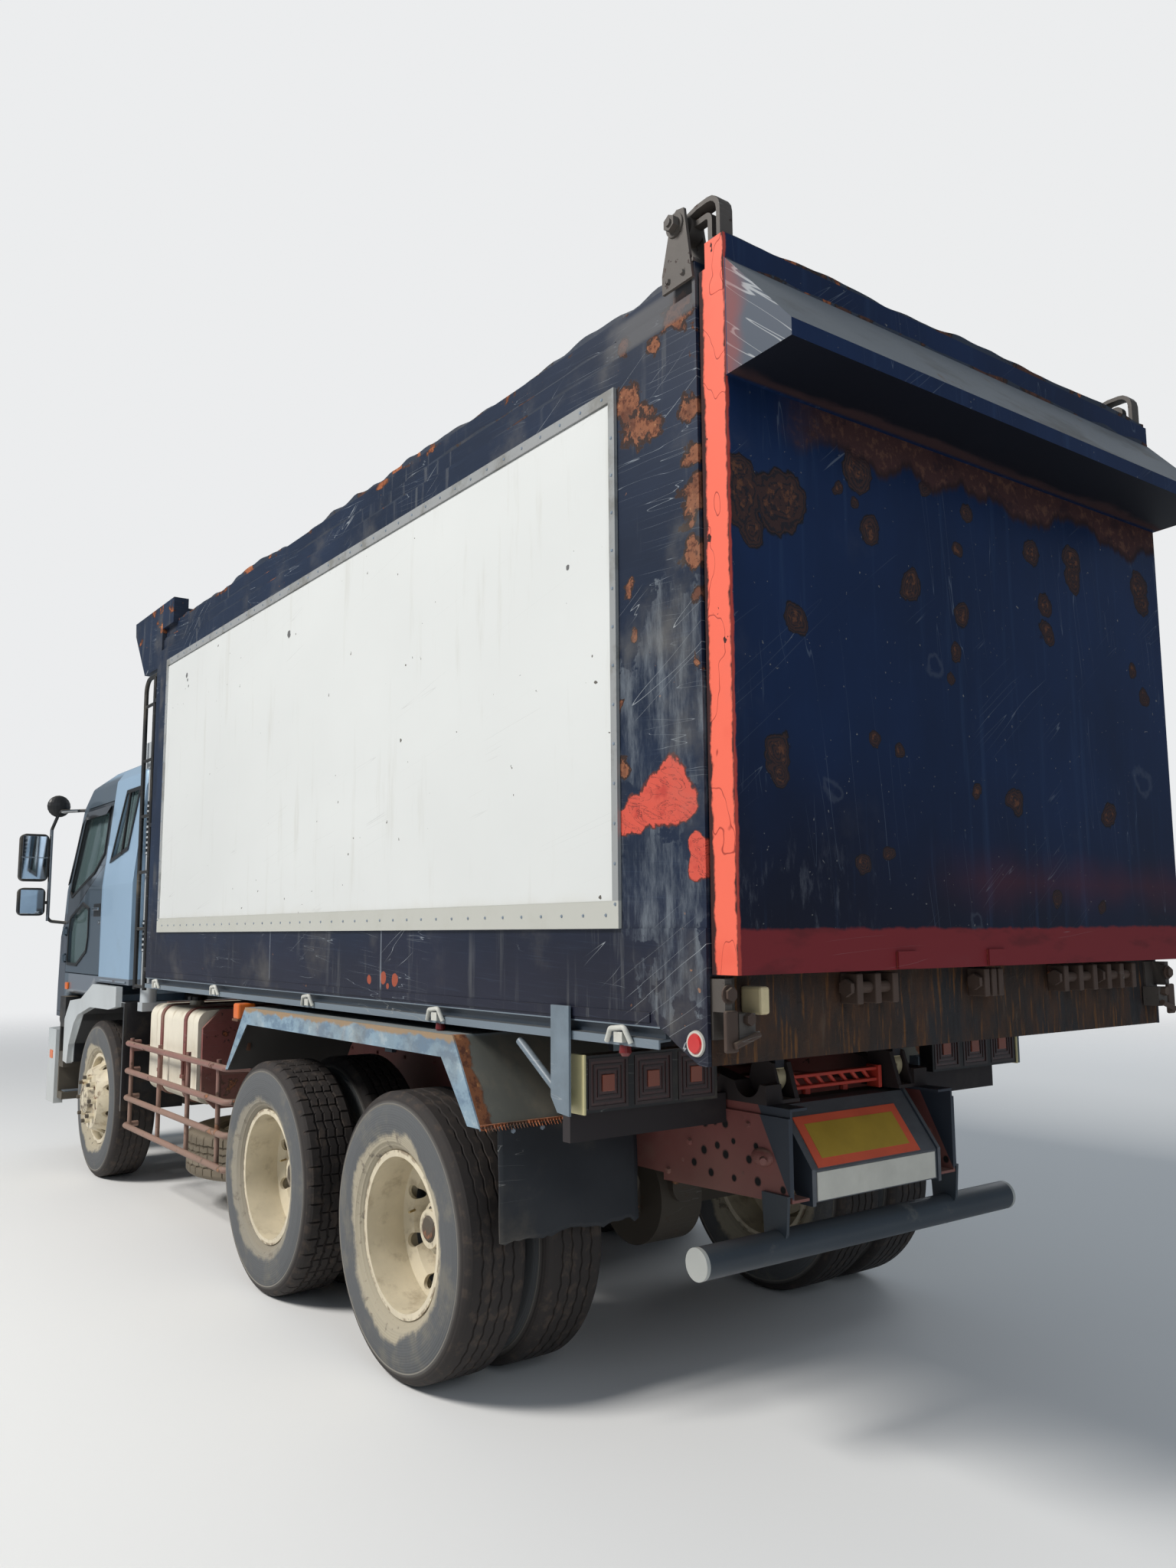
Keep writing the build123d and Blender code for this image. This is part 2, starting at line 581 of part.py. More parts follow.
def air_duct():
    lower = upright_cylinder(1850, 1050, 50, 1180, 2250)
    upper = upright_cylinder(1850, 1050, 50, 2245, 2700)
    rings = [upright_cylinder(1850, 1050, 54, z, z + 14) for z in range(2130, 2470, 34)]
    rings += [upright_cylinder(1850, 1050, 54, z, z + 14) for z in range(1510, 1700, 34)]
    hood = box(1780, 1915, 985, 1108, 2690, 2860)
    foot = box(1800, 1900, RAIL_OUT_Y, 1100, 1130, 1185)
    leg = box(1810, 1870, RAIL_OUT_Y, RAIL_OUT_Y + 14, 900, 1135)
    save("air_duct", fuse([lower, upper, *rings, hood, foot, leg]))


def service_gear():
    """Right-hand battery box, air tanks and silencer, and the spare wheel under the frame."""
    battery = fillet(box(1150, 1700, -1060, -480, 620, 1010).edges().filter_by(Axis.X), 25)
    shelf = box(1200, 1650, -480, -425, 700, 980)
    save("battery_box", fuse([battery, shelf]))
    tanks = [long_cylinder(y, 950, 120, 330, 1000) for y in (-640, -920)]
    bar = [box(x - 20, x + 20, -1040, -425, 1060, 1085) for x in (400, 850)]
    save("air_tanks", fuse([*tanks, *bar]))
    silencer = long_cylinder(-700, 660, 140, 250, 1000)
    tail = long_cylinder(-700, 660, 45, 60, 250)
    hang = [box(x - 15, x + 15, -640, -425, 740, 815) for x in (380, 870)]
    save("silencer", fuse([silencer, tail, *hang]))


SPARE_X = 1180
SPARE_Y = 450
SPARE_Z = 330


def spare_wheel():
    """Spare tyre and its wheel, flat under the left rail, clamped to a hanger."""
    def flat(shape):
        return Pos(SPARE_X, SPARE_Y, SPARE_Z) * Rot(90, 0, 0) * Pos(0, 0, -WHEEL_Z) * shape
    save("spare_tyre", flat(tyre(0, 0)))
    post_y = RAIL_OUT_Y + 9
    disc_z = SPARE_Z + WHEEL_OFFSET - 12
    post = box(SPARE_X - 45, SPARE_X + 45, RAIL_OUT_Y, post_y, disc_z + 40, 900)
    shelf = box(SPARE_X - 45, SPARE_X + 45, RAIL_OUT_Y, SPARE_Y + 60, disc_z + 40, disc_z + 52)
    bolt = upright_cylinder(SPARE_X, SPARE_Y, 16, disc_z - 40, disc_z + 45)
    clamp = box(SPARE_X - 150, SPARE_X + 150, SPARE_Y - 30, SPARE_Y + 30, disc_z - 18, disc_z)
    save("spare_rim", fuse([flat(rim(0, 0, 1)), post, shelf, bolt, clamp]))


def hoist():
    """Twin cylinders; the rods' eyes stay open at the bed so the linkage is a chain."""
    low = Vector(HOIST_LOW[0], 0, HOIST_LOW[1])
    high = Vector(HOIST_HIGH[0], 0, HOIST_HIGH[1])
    run = (high - low).normalized()
    barrels = []
    rods = []
    for side in (1, -1):
        shift = Vector(0, side * HOIST_Y, 0)
        foot = low + shift
        tip = high + shift
        barrel = rod_between(foot + run * 115, foot + run * 1900, 78)
        neck = rod_between(foot + run * 30, foot + run * 120, 42)
        bore = rod_between(foot + run * 150, foot + run * 1950, ROD_R + RUNNING_GAP)
        eye = cross_cylinder(low.X, low.Z, 62, shift.Y - 40, shift.Y + 40)
        eye_hole = cross_cylinder(low.X, low.Z, HOIST_PIN_R + RUNNING_GAP, shift.Y - 60, shift.Y + 60)
        barrels.append(barrel.fuse(neck, eye).cut(bore).cut(eye_hole))
        rod = rod_between(foot + run * 960, tip - run * 40, ROD_R)
        rod_eye = cross_cylinder(high.X, high.Z, 52, shift.Y - 30, shift.Y + 30)
        rod_hole = cross_cylinder(high.X, high.Z, HOIST_PIN_R + RUNNING_GAP, shift.Y - 60, shift.Y + 60)
        rods.append(rod.fuse(rod_eye).cut(rod_hole))
    bridge = rod_between(low + run * 1400 + Vector(0, -130, 0),
                         low + run * 1400 + Vector(0, 130, 0), 30)
    save("hoist_barrels", fuse([*barrels, bridge]))
    link = box(high.X + 70, high.X + 110, -HOIST_Y, HOIST_Y, high.Z - 45, high.Z - 15)
    save("hoist_rods", fuse([*rods, link]))


def hoist_cradle():
    """Cheeks under a cross member that hold the pins at the cylinders' feet."""
    pieces = []
    for side in (1, -1):
        cheeks = []
        for y in (side * (HOIST_Y - 58), side * (HOIST_Y + 58)):
            cheeks.append(side_prism([(475, 745), (380, 700), (352, 650), (372, 605), (420, 590), (595, 690),
                                      (595, 745)], y - 6, y + 6))
        cheeks.append(cross_cylinder(*HOIST_LOW, HOIST_PIN_R, side * (HOIST_Y - 70), side * (HOIST_Y + 70)))
        pieces.append(fuse(cheeks))
    return pieces


# Bed
def bed_floor():
    """Floor plate on cross bearers and two long sills, closed at the back by the deep end plate."""
    inner = BED_HALF - 50
    plate = box(BED_REAR_X, 1500, -inner, inner, 1440, BED_FLOOR_TOP)
    parts = [plate]
    for k in range(13):
        x = -3360 + 400 * k
        if x > 1450:
            break
        parts.append(box(x - 30, x + 30, -inner, inner, 1315, 1441))
    end = box(BED_REAR_X, BED_REAR_X + 12, -BED_HALF + 10, BED_HALF - 10, 1261, 1498)
    parts.append(end)
    for side in (1, -1):
        y0, y1 = sorted((side * 352, side * 428))
        seat = SUBFRAME_TOP + RUNNING_GAP
        sill = side_prism([(TIP_X + 70, seat + 5), (TIP_X + 90, seat), (1440, seat), (1480, 1200), (1480, 1320),
                           (TIP_X - 80, 1320), (TIP_X - 80, 1180)], y0, y1)
        boss = cross_cylinder(TIP_X, TIP_Z, 52, side * 288, side * 332)
        neck = side_prism([(TIP_X - 60, 1320), (TIP_X - 40, TIP_Z), (TIP_X + 40, TIP_Z), (TIP_X + 70, 1320)],
                          *sorted((side * 288, side * 332)))
        web = box(TIP_X - 80, TIP_X + 90, *sorted((side * 288, side * 428)), 1250, 1320)
        hole = cross_cylinder(TIP_X, TIP_Z, TIP_PIN_R + RUNNING_GAP, side * 270, side * 345)
        parts.append(fuse([sill, boss, neck, web]).cut(hole))
        for y in (side * (HOIST_Y - 64), side * (HOIST_Y + 64)):
            cheek = side_prism([(HOIST_HIGH[0] - 110, 1320), (HOIST_HIGH[0] - 60, HOIST_HIGH[1] - 20),
                                (HOIST_HIGH[0], HOIST_HIGH[1] - 60), (HOIST_HIGH[0] + 60, HOIST_HIGH[1] - 20),
                                (HOIST_HIGH[0] + 110, 1320)], y - 6, y + 6)
            parts.append(cheek.cut(cross_cylinder(*HOIST_HIGH, HOIST_PIN_R + RUNNING_GAP, y - 20, y + 20)))
    save("bed_floor", fuse(parts))


SIDE_SECTION = [  # y, z of the left wall's cross-section, seen from behind
    (BED_HALF, 1352), (BED_HALF, BED_TOP - 150), (BED_HALF - 12, BED_TOP - 146), (BED_HALF - 12, BED_TOP - 82),
    (BED_HALF - 28, BED_TOP - 78),
    (BED_HALF - 28, BED_TOP), (BED_HALF - 90, BED_TOP), (BED_HALF - 90, BED_TOP - 220), (BED_HALF - 50, BED_TOP - 260),
    (BED_HALF - 50, 1352)]


def bed_sides():
    pieces = []
    for side in (1, -1):
        wall = long_prism([(side * y, z) for y, z in SIDE_SECTION], BED_REAR_X + 12, 1500)
        gusset = [(BED_REAR_X, 1628), (-3211, 1628), (-3375, 1360), (-3457, 1309), (-3550, 1260), (BED_REAR_X, 1260)]
        plate = side_prism(gusset, *sorted((side * (BED_HALF - 8), side * (BED_HALF + 4))))
        post_y = sorted((side * (BED_HALF - 50), side * BED_HALF))
        post = box(BED_REAR_X, BED_REAR_X + 13, *post_y, 1498, BED_TOP)
        raised = box(1280, 1500, *sorted((side * (BED_HALF - 90), side * BED_HALF)), 3540, 3700)
        ledge = box(-3340, 1500, *sorted((side * (BED_HALF - 2), side * (BED_HALF + 4))), 1362, 1390)
        pieces.append(fuse([wall, plate, post, raised, ledge]))
    save("bed_sides", pieces)


def headboard():
    """Front wall, with the visor that leans forward over the cab."""
    wall = box(1500, BED_FRONT_X, -BED_HALF, BED_HALF, 1352, 3700)
    cheek = [(1560, 3700), (2110, 3700), (2100, 3610), (1858, 3300), (1560, 3300)]
    visor = side_prism(cheek, -BED_HALF, BED_HALF)
    hollow = side_prism([(1580, 3690), (2100, 3690), (2089, 3615), (1853, 3310), (1580, 3310)],
                         10 - BED_HALF, BED_HALF - 10)
    save("headboard", wall.fuse(visor).cut(hollow))


def side_panels():
    pieces = []
    for side in (1, -1):
        panel = box(-3211, 1346, *sorted((side * BED_HALF, side * (BED_HALF + 6))), 1628, 3308)
        frame = box(-3211, 1346, *sorted((side * BED_HALF, side * (BED_HALF + 12))), 1628, 3308)
        hole = box(-3181, 1316, *sorted((side * (BED_HALF - 10), side * (BED_HALF + 20))), 1708, 3268)
        pieces.append(panel.fuse(frame.cut(hole)))
    save("side_panels", pieces)


def side_rails():
    """Lower rails under the walls: an upper ledge, a dark gap and a lipped channel."""
    pieces = []
    for side in (1, -1):
        section = [(-50, 1352), (0, 1352), (0, 1348), (-22, 1344), (-22, 1318), (4, 1316), (4, 1290),
                   (-2, 1290), (-2, 1308), (-40, 1310), (-50, 1330)]
        pieces.append(long_prism([(side * (BED_HALF + y), z) for y, z in section], -3380, 1570))
    save("side_rails", pieces)


MARKER_X = [1310, 276, -948, -2112, -3210]


def markers():
    pieces = []
    for x in MARKER_X:
        near = BED_HALF + 12
        far = BED_HALF + 22
        hoop = pipe([(x + 60, near, 1300), (x + 30, far, 1338), (x - 35, far, 1345), (x - 55, near, 1300)], 8, 14)
        lamp = box(x - 25, x + 15, BED_HALF + 4, far, 1300, 1330)
        pieces.append(hoop.fuse(lamp))
    save("side_markers", both(pieces))


def ladder():
    rail_x = (1655, 1860)
    y = BED_HALF - 17
    parts = []
    parts.append(pipe([(rail_x[1], y, 1270), (rail_x[1], y, 3270), (BED_FRONT_X, y, 3270)], 14, 90))
    parts.append(upright_cylinder(rail_x[0], y, 14, 1270, 3270))
    for k in range(6):
        parts.append(long_cylinder(y, 1290 + 360 * k, 10, 1655, 1860))
    for z in (1400, 2300, 3100):
        parts.append(box(BED_FRONT_X, 1655, y - 12, y + 12, z - 12, z + 12))
    save("ladder", fuse(parts))


def gate_brackets():
    """Upper corner cheeks that hold the tailgate's pins, and the lower latches."""
    pieces = []
    for side in (1, -1):
        x = GATE_PIN_X
        z = GATE_PIN_Z
        cheek = [(BED_REAR_X, BED_TOP - 50), (x + 63, BED_TOP - 50), (x + 63, BED_TOP + 10), (x + 18, z + 30),
                 (x - 6, z + 46), (x - 39, z + 38)]
        out = side_prism(cheek, *sorted((side * BED_HALF, side * (BED_HALF + 10))))
        foot = side_prism([(BED_REAR_X, BED_TOP), (x + 63, BED_TOP), (x + 63, BED_TOP + 12),
                           (BED_REAR_X, BED_TOP + 12)],
                          *sorted((side * (BED_HALF - 88), side * (BED_HALF + 5))))
        inner = side_prism([(x - 46, BED_TOP), (x + 63, BED_TOP), (x + 18, z + 30), (x - 16, z + 33)],
                           *sorted((side * (BED_HALF - 88), side * (BED_HALF - 78))))
        pin = cross_cylinder(x, z, GATE_PIN_R, side * (BED_HALF - 88), side * (BED_HALF + 22))
        pieces.append(fuse([out, foot, inner, pin]))
    latches = []
    for side in (1, -1):
        x = BED_REAR_X
        block = box(x - 55, x - 5, *sorted((side * (BED_HALF - 35), side * (BED_HALF - 10))), 1405, 1492)
        back = box(x - 7, x, *sorted((side * (BED_HALF - 90), side * (BED_HALF - 10))), 1330, 1492)
        hook = box(x - 65, x - 5, *sorted((side * (BED_HALF - 110), side * (BED_HALF - 50))), 1330, 1400)
        latches.append(fuse([block, back, hook]))
    save("gate_fittings", pieces + latches)


def tailgate():
    frame_y = BED_HALF - 10
    front = GATE_FRONT_X
    lip = GATE_FACE_X - 254
    top = GATE_TOP
    gate = box(GATE_FACE_X, front, -frame_y, frame_y, 1503, top)
    gate = gate.cut(box(front - 26, front + 1, -frame_y - 1, frame_y + 1, top - 78, top + 10))
    bay = (2 * frame_y - 5 * GATE_POST) / 4
    for k in range(4):
        y = -frame_y + GATE_POST + k * (bay + GATE_POST)
        gate = gate.cut(box(GATE_FACE_X + GATE_SHEET, front - GATE_SHEET, y, y + bay, 1560, top - 100))
        gate = gate.cut(upright_cylinder((GATE_FACE_X + front) / 2, y + bay / 2, 16, 1500, 1570))
    wedge = side_prism([(GATE_FACE_X, top - 75), (lip, top - 370), (lip, top - 420), (GATE_FACE_X, top - 430)],
                       -frame_y, frame_y)
    hollow = side_prism([(GATE_FACE_X + 1, top - 90), (lip + 10, top - 374), (lip + 10, top - 412),
                         (GATE_FACE_X + 1, top - 422)], -frame_y + 8, frame_y - 8)
    tabs = [box(GATE_FACE_X - 10, GATE_FACE_X + 1, y - 45, y + 45, 1506, 1556) for y in (460, 20)]
    save("tailgate", fuse([gate, wedge.cut(hollow), *tabs]))
    arms = []
    for side in (1, -1):
        x = GATE_PIN_X
        z = GATE_PIN_Z
        hoop = [(x - 10, z + 34), (x - 60, z + 44), *quarter(x - 108, z - 8, 52, 90, 180), (x - 160, GATE_TOP)]
        hook = side_prism(flat_bar(hoop, 15), *sorted((side * (BED_HALF - 70), side * (BED_HALF - 20))))
        inner = [(x - 20, z + 8), (x - 60, z + 6), *quarter(x - 90, z - 20, 26, 90, 180), (x - 116, GATE_TOP)]
        claw = side_prism(flat_bar(inner, 18), *sorted((side * (BED_HALF - 60), side * (BED_HALF - 30))))
        eye = cross_cylinder(x, z, 40, side * (BED_HALF - 70), side * (BED_HALF - 20))
        hook = hook.fuse(claw, eye)
        reach = side * (BED_HALF - 100), side * (BED_HALF + 10)
        hole = cross_cylinder(x, z, GATE_PIN_R + RUNNING_GAP, *reach)
        hook = hook.cut(hole)
        arms.append(hook)
    save("gate_arms", arms)


# Cab
CAB_SIDE = [(CAB_REAR_X, CAB_FLOOR_Z), (2780, CAB_FLOOR_Z), (2960, 1180), (3600, 1180), (3640, 1000), (3880, 1000),
            (3880, 1230), (3850, 1600), (3765, 1720), (3530, 2610), (3380, 2715), (2950, 2785), (2400, 2785),
            (2010, 2745), (CAB_REAR_X, 2640)]
CAB_FRONT = [(-CAB_HALF, 900), (CAB_HALF, 900), (CAB_HALF, 1950), (CAB_HALF - 75, 2690), (CAB_HALF - 150, 2800),
             (150 - CAB_HALF, 2800), (75 - CAB_HALF, 2690), (-CAB_HALF, 1950)]
CAB_PLAN = [(1900, 40 - CAB_HALF), (1980, -CAB_HALF), (3690, -CAB_HALF), (3810, 70 - CAB_HALF),
            (3920, 250 - CAB_HALF), (3920, CAB_HALF - 250), (3810, CAB_HALF - 70), (3690, CAB_HALF),
            (1980, CAB_HALF), (1900, CAB_HALF - 40)]
DOOR_OPENING = [(2690, 1330), (3672, 1330), (3672, 1700), (3655, 1900), (3474, 2500), (3400, 2560), (2700, 2560),
                (2670, 1900)]
DOOR_WINDOW = [(2750, 2190), (2950, 2060), (3540, 1900), (3582, 1935), (3430, 2440), (3385, 2490), (2755, 2490)]
LOW_WINDOW = [(3020, 1600), (3060, 1500), (3330, 1395), (3600, 1400), (3600, 1640), (3550, 1740), (3200, 1840),
              (3020, 1800)]
CAB_GRILLE_X = 3852
CAB_GRILLE_HALF = 640
QUARTER_WINDOW = [(2060, 2590), (2162, 2185), (2553, 2118), (2375, 2590)]
WINDSHIELD = [(140 - CAB_HALF, 1800), (CAB_HALF - 140, 1800), (CAB_HALF - 205, 2570), (205 - CAB_HALF, 2570)]
REAR_WINDOW = [(-520, 2060), (520, 2060), (520, 2440), (-520, 2440)]


def cab_block(t):
    """The cab's outer form, moved inwards by t on every side, with its edges rounded."""
    side = side_prism(inset(CAB_SIDE, t), -CAB_HALF - 150, CAB_HALF + 150)
    front = long_prism(inset(CAB_FRONT, t), 1800, 4000)
    plan = plan_prism(inset(CAB_PLAN, t), 900, 2900)
    block = common(side, front, plan)
    return fillet(block.edges(), CAB_ROUND - t) if t < CAB_ROUND else block


DOOR_HINGE_Z = [1440, 1640]


def door_pin(side, z):
    """Two ears on the front post, with the pin that a door's knuckle turns on."""
    y = side * DOOR_HINGE_Y
    pin = upright_cylinder(DOOR_HINGE_X, y, DOOR_PIN_R, z - 30, z + 30)
    ears = []
    for a in (z - 34, z + 22):
        ears.append(upright_cylinder(DOOR_HINGE_X, y, 14, a, a + 12))
        ears.append(box(DOOR_HINGE_X, DOOR_HINGE_X + 18, *sorted((side * (CAB_HALF - 2), y)), a, a + 12))
    return fuse([pin, *ears])


def door_knuckle(side, z):
    """The door's half of a hinge: a ring round the pin and a leaf on the door's skin."""
    y = side * DOOR_HINGE_Y
    ring = upright_cylinder(DOOR_HINGE_X, y, 14, z - 20, z + 20)
    leaf = box(DOOR_HINGE_X - 60, DOOR_HINGE_X - 8, *sorted((side * (CAB_HALF - 2), y)), z - 20, z + 20)
    return ring.fuse(leaf).cut(upright_cylinder(DOOR_HINGE_X, y, DOOR_PIN_R + RUNNING_GAP, z - 40, z + 40))


def common(first, *others):
    for other in others:
        first = first.intersect(other).solids()[0]
    return first


def cab():
    wall = cab_block(0).cut(cab_block(CAB_WALL)).solids()[0]
    pane = cab_block(18).cut(cab_block(24)).solids()[0]
    far = CAB_HALF + 150
    near = CAB_HALF - 250
    openings = [side_prism(DOOR_OPENING, -far, far), side_prism(QUARTER_WINDOW, -far, far),
                long_prism(WINDSHIELD, 3400, 4000), long_prism(REAR_WINDOW, 1850, 2060)]
    shell = wall.cut(*openings)
    for side in (1, -1):
        ring = cross_cylinder(CAB_TILT_X, CAB_TILT_Z, 34, side * 377, side * 408)
        neck = box(CAB_TILT_X - 30, CAB_TILT_X + 30, *sorted((side * 377, side * 408)), CAB_TILT_Z, 1010)
        hole = cross_cylinder(CAB_TILT_X, CAB_TILT_Z, TILT_PIN_R + RUNNING_GAP, side * 350, side * 440)
        shell = shell.fuse(ring.fuse(neck).cut(hole))
        for z in DOOR_HINGE_Z:
            shell = shell.fuse(door_pin(side, z))
    for k in range(6):
        z = 1070 + 62 * k
        shell = shell.cut(box(CAB_GRILLE_X, 3900, -CAB_GRILLE_HALF, CAB_GRILLE_HALF, z, z + 40))
    visor = side_prism([(3560, 2600), (3690, 2520), (3700, 2530), (3575, 2625)], -980, 980)
    arms = [side_prism([(3500, 2600), (3690, 2520), (3700, 2530), (3520, 2640)], y, y + 14) for y in (-700, 686)]
    shell = shell.fuse(visor, *arms)
    save("cab_shell", shell)
    glass = []
    for cutter in (side_prism(QUARTER_WINDOW, near, far), side_prism(QUARTER_WINDOW, -far, -near),
                   long_prism(WINDSHIELD, 3400, 4000), long_prism(REAR_WINDOW, 1850, 2060)):
        glass.append(common(pane, cutter))
    save("cab_glass", glass)
    for name, y0, y1, windows in (("left", near, far, [DOOR_WINDOW, LOW_WINDOW]),
                                  ("right", -far, -near, [DOOR_WINDOW])):
        door = common(wall, side_prism(inset(DOOR_OPENING, 6), y0, y1))
        panes = []
        for outline in windows:
            cutter = side_prism(outline, y0, y1)
            door = door.cut(cutter)
            panes.append(common(pane, cutter))
        for z in DOOR_HINGE_Z:
            door = door.fuse(door_knuckle(1 if y0 > 0 else -1, z))
        save(f"door_{name}", door)
        save(f"door_glass_{name}", panes)


def cab_inside():
    parts = []
    for y in (-560, 560):
        parts.append(box(2250, 2760, y - 250, y + 250, 1440, 1620))
        parts.append(side_prism([(2130, 1600), (2280, 1600), (2200, 2330), (2080, 2330)], y - 240, y + 240))
        parts.append(box(2350, 2700, y - 180, y + 180, CAB_FLOOR_Z + CAB_WALL, 1441))
    dash = side_prism([(3300, 1500), (3500, 1500), (3500, 1225), (3770, 1225), (3770, 1540), (3680, 1690),
                       (3340, 1680)], 150 - CAB_HALF, CAB_HALF - 150)
    wheel = Pos(3180, -560, 1760) * Rot(0, -30, 0) * Torus(215, 14)
    column = rod_between((3180, -560, 1760), (3400, -560, 1380), 28)
    spoke = Pos(3180, -560, 1760) * Rot(0, -30, 0) * Box(60, 410, 12)
    save("cab_interior", [fuse(parts[:3]), fuse(parts[3:]), fuse([dash, wheel, column, spoke])])


MIRRORS = [  # x0, x1, y0, y1 beyond the cab's side, z0, z1 of the two heads
    (3740, 3810, 140, 340, 2020, 2380),
    (3740, 3800, 150, 340, 1760, 1970)]


def mirrors():
    parts = []
    for x0, x1, y0, y1, z0, z1 in MIRRORS:
        head = box(x0, x1, CAB_HALF + y0, CAB_HALF + y1, z0, z1)
        parts.append(fillet(head.edges().filter_by(Axis.X), 40))
    y = CAB_HALF
    stay = pipe([(3500, y - 110, 2560), (3720, y + 80, 2560), (3775, y + 120, 2420), (3775, y + 120, 1720),
                 (3700, y - 50, 1700)], 12, 40).cut(cab_block(0))
    links = [box(3765, 3785, y + 112, y + 150, z - 12, z + 12) for z in (2200, 1860)]
    save("mirrors", both([fuse([*parts, stay, *links])]))


frame()
subframe()
front_axle()
rear_axles()
springs()
driveline()
fuel_tank()
side_guards()
rear_frame_gear()
lamps()
rear_fenders()
front_gear()
air_duct()
service_gear()
spare_wheel()
hoist()
bed_floor()
bed_sides()
headboard()
side_panels()
side_rails()
markers()
ladder()
gate_brackets()
tailgate()
cab()
cab_inside()
mirrors()
for label, axle_x in (("mid", MID_AXLE_X), ("rear", REAR_AXLE_X)):
    for word, sign in (("left", 1), ("right", -1)):
        dual_wheel(f"{label}_{word}", axle_x, sign)
for word, sign in (("left", 1), ("right", -1)):
    front_wheel(f"front_{word}", sign)
    knuckle(f"knuckle_{word}", sign)
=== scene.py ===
# %% [markdown]
# # A six-wheel tipper truck, dressed for the camera
# The metal frame of this truck comes ready made, in metres, with +X forward, +Y to the truck's
# left and +Z up. This script gives it its paint, rust, rubber, glass and small fittings.
# Nothing in the frame is moved: each new piece is put where the frame says and rides on the
# body that carries it, so that doors, bed and tailgate still work.

# %% Load the frame
import bpy
import bmesh
import math
from mathutils import Matrix, Vector, noise


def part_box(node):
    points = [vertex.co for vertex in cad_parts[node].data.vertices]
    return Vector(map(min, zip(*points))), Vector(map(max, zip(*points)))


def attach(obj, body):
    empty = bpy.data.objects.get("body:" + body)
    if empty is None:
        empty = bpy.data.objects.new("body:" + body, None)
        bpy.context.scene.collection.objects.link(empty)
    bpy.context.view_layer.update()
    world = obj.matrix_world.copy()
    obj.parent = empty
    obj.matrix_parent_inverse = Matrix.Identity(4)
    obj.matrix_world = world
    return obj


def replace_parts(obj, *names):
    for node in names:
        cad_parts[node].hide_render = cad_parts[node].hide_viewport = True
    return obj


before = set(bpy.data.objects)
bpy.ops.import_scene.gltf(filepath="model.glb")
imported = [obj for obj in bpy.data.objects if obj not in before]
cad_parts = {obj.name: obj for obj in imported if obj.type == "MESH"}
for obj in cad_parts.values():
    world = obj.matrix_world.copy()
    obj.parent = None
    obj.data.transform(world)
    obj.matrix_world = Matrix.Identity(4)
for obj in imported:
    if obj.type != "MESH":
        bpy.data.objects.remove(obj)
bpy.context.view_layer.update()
SIDES = (("left", 1), ("right", -1))

# %% [markdown]
# ## Camera
# The photograph was taken standing behind the truck's left corner, with a wide lens held upright.
# The camera's place and direction were worked out from straight edges of the truck, so here
# they are set from plain numbers: a place, a turn to the right of +X, a tilt up and a small roll.

# %% Camera
FOCAL_PIXELS = 1537.0
IMAGE_HEIGHT = 2048.0
SENSOR_MM = 36.0
camera_place = Vector((-5.975, 3.305, 1.624))
turn = math.radians(36.36)
tilt = math.radians(7.08)
roll = math.radians(-0.372)

forward = Vector((math.cos(tilt) * math.cos(turn), -math.cos(tilt) * math.sin(turn), math.sin(tilt)))
level = forward.cross(Vector((0, 0, 1))).normalized()
upright = level.cross(forward)
right = level * math.cos(roll) + upright * math.sin(roll)
up = upright * math.cos(roll) - level * math.sin(roll)
camera_data = bpy.data.cameras.new("photo_camera")
camera_data.sensor_fit = "VERTICAL"
camera_data.sensor_height = SENSOR_MM
camera_data.lens = FOCAL_PIXELS / IMAGE_HEIGHT * SENSOR_MM
camera = bpy.data.objects.new("photo_camera", camera_data)
bpy.context.scene.collection.objects.link(camera)
camera.matrix_world = Matrix.Translation(camera_place) @ Matrix((right, up,
                                                                 -forward)).transposed().to_4x4()
bpy.context.scene.camera = camera
bpy.context.scene.view_settings.view_transform = "Standard"
print("lens", round(camera_data.lens, 2), "mm")

# %% [markdown]
# ## Floor and light
# A pale floor and a pale backdrop keep the eye on the truck. One large soft lamp stands where
# the sun was, high on the truck's left, so that the left side is bright and the tailgate lies in
# softer light. The world fills the shadows, and looks white only to the camera and in reflections.

# %% Stage
PALE = (0.80, 0.80, 0.79, 1.0)


def stage_material(name, colour):
    """Matt floor that fades into the backdrop far away, so that no horizon shows."""
    material = bpy.data.materials.new(name)
    material.use_nodes = True
    tree = material.node_tree
    shader = tree.nodes["Principled BSDF"]
    shader.inputs["Base Color"].default_value = colour
    shader.inputs["Roughness"].default_value = 0.9
    where = tree.nodes.new("ShaderNodeTexCoord")
    away = tree.nodes.new("ShaderNodeVectorMath")
    away.operation = "LENGTH"
    tree.links.new(where.outputs["Object"], away.inputs[0])
    fade = tree.nodes.new("ShaderNodeMapRange")
    fade.interpolation_type = "SMOOTHSTEP"
    fade.inputs["From Min"].default_value = 7.0
    fade.inputs["From Max"].default_value = 22.0
    tree.links.new(away.outputs["Value"], fade.inputs["Value"])
    clear = tree.nodes.new("ShaderNodeBsdfTransparent")
    mix = tree.nodes.new("ShaderNodeMixShader")
    tree.links.new(fade.outputs["Result"], mix.inputs[0])
    tree.links.new(shader.outputs[0], mix.inputs[1])
    tree.links.new(clear.outputs[0], mix.inputs[2])
    tree.links.new(mix.outputs[0], tree.nodes["Material Output"].inputs[0])
    return material


floor_mesh = bmesh.new()
bmesh.ops.create_grid(floor_mesh, x_segments=1, y_segments=1, size=60.0)
floor_data = bpy.data.meshes.new("floor")
floor_mesh.to_mesh(floor_data)
floor_mesh.free()
floor = bpy.data.objects.new("floor", floor_data)
bpy.context.scene.collection.objects.link(floor)
floor.data.materials.append(stage_material("pale_floor", PALE))

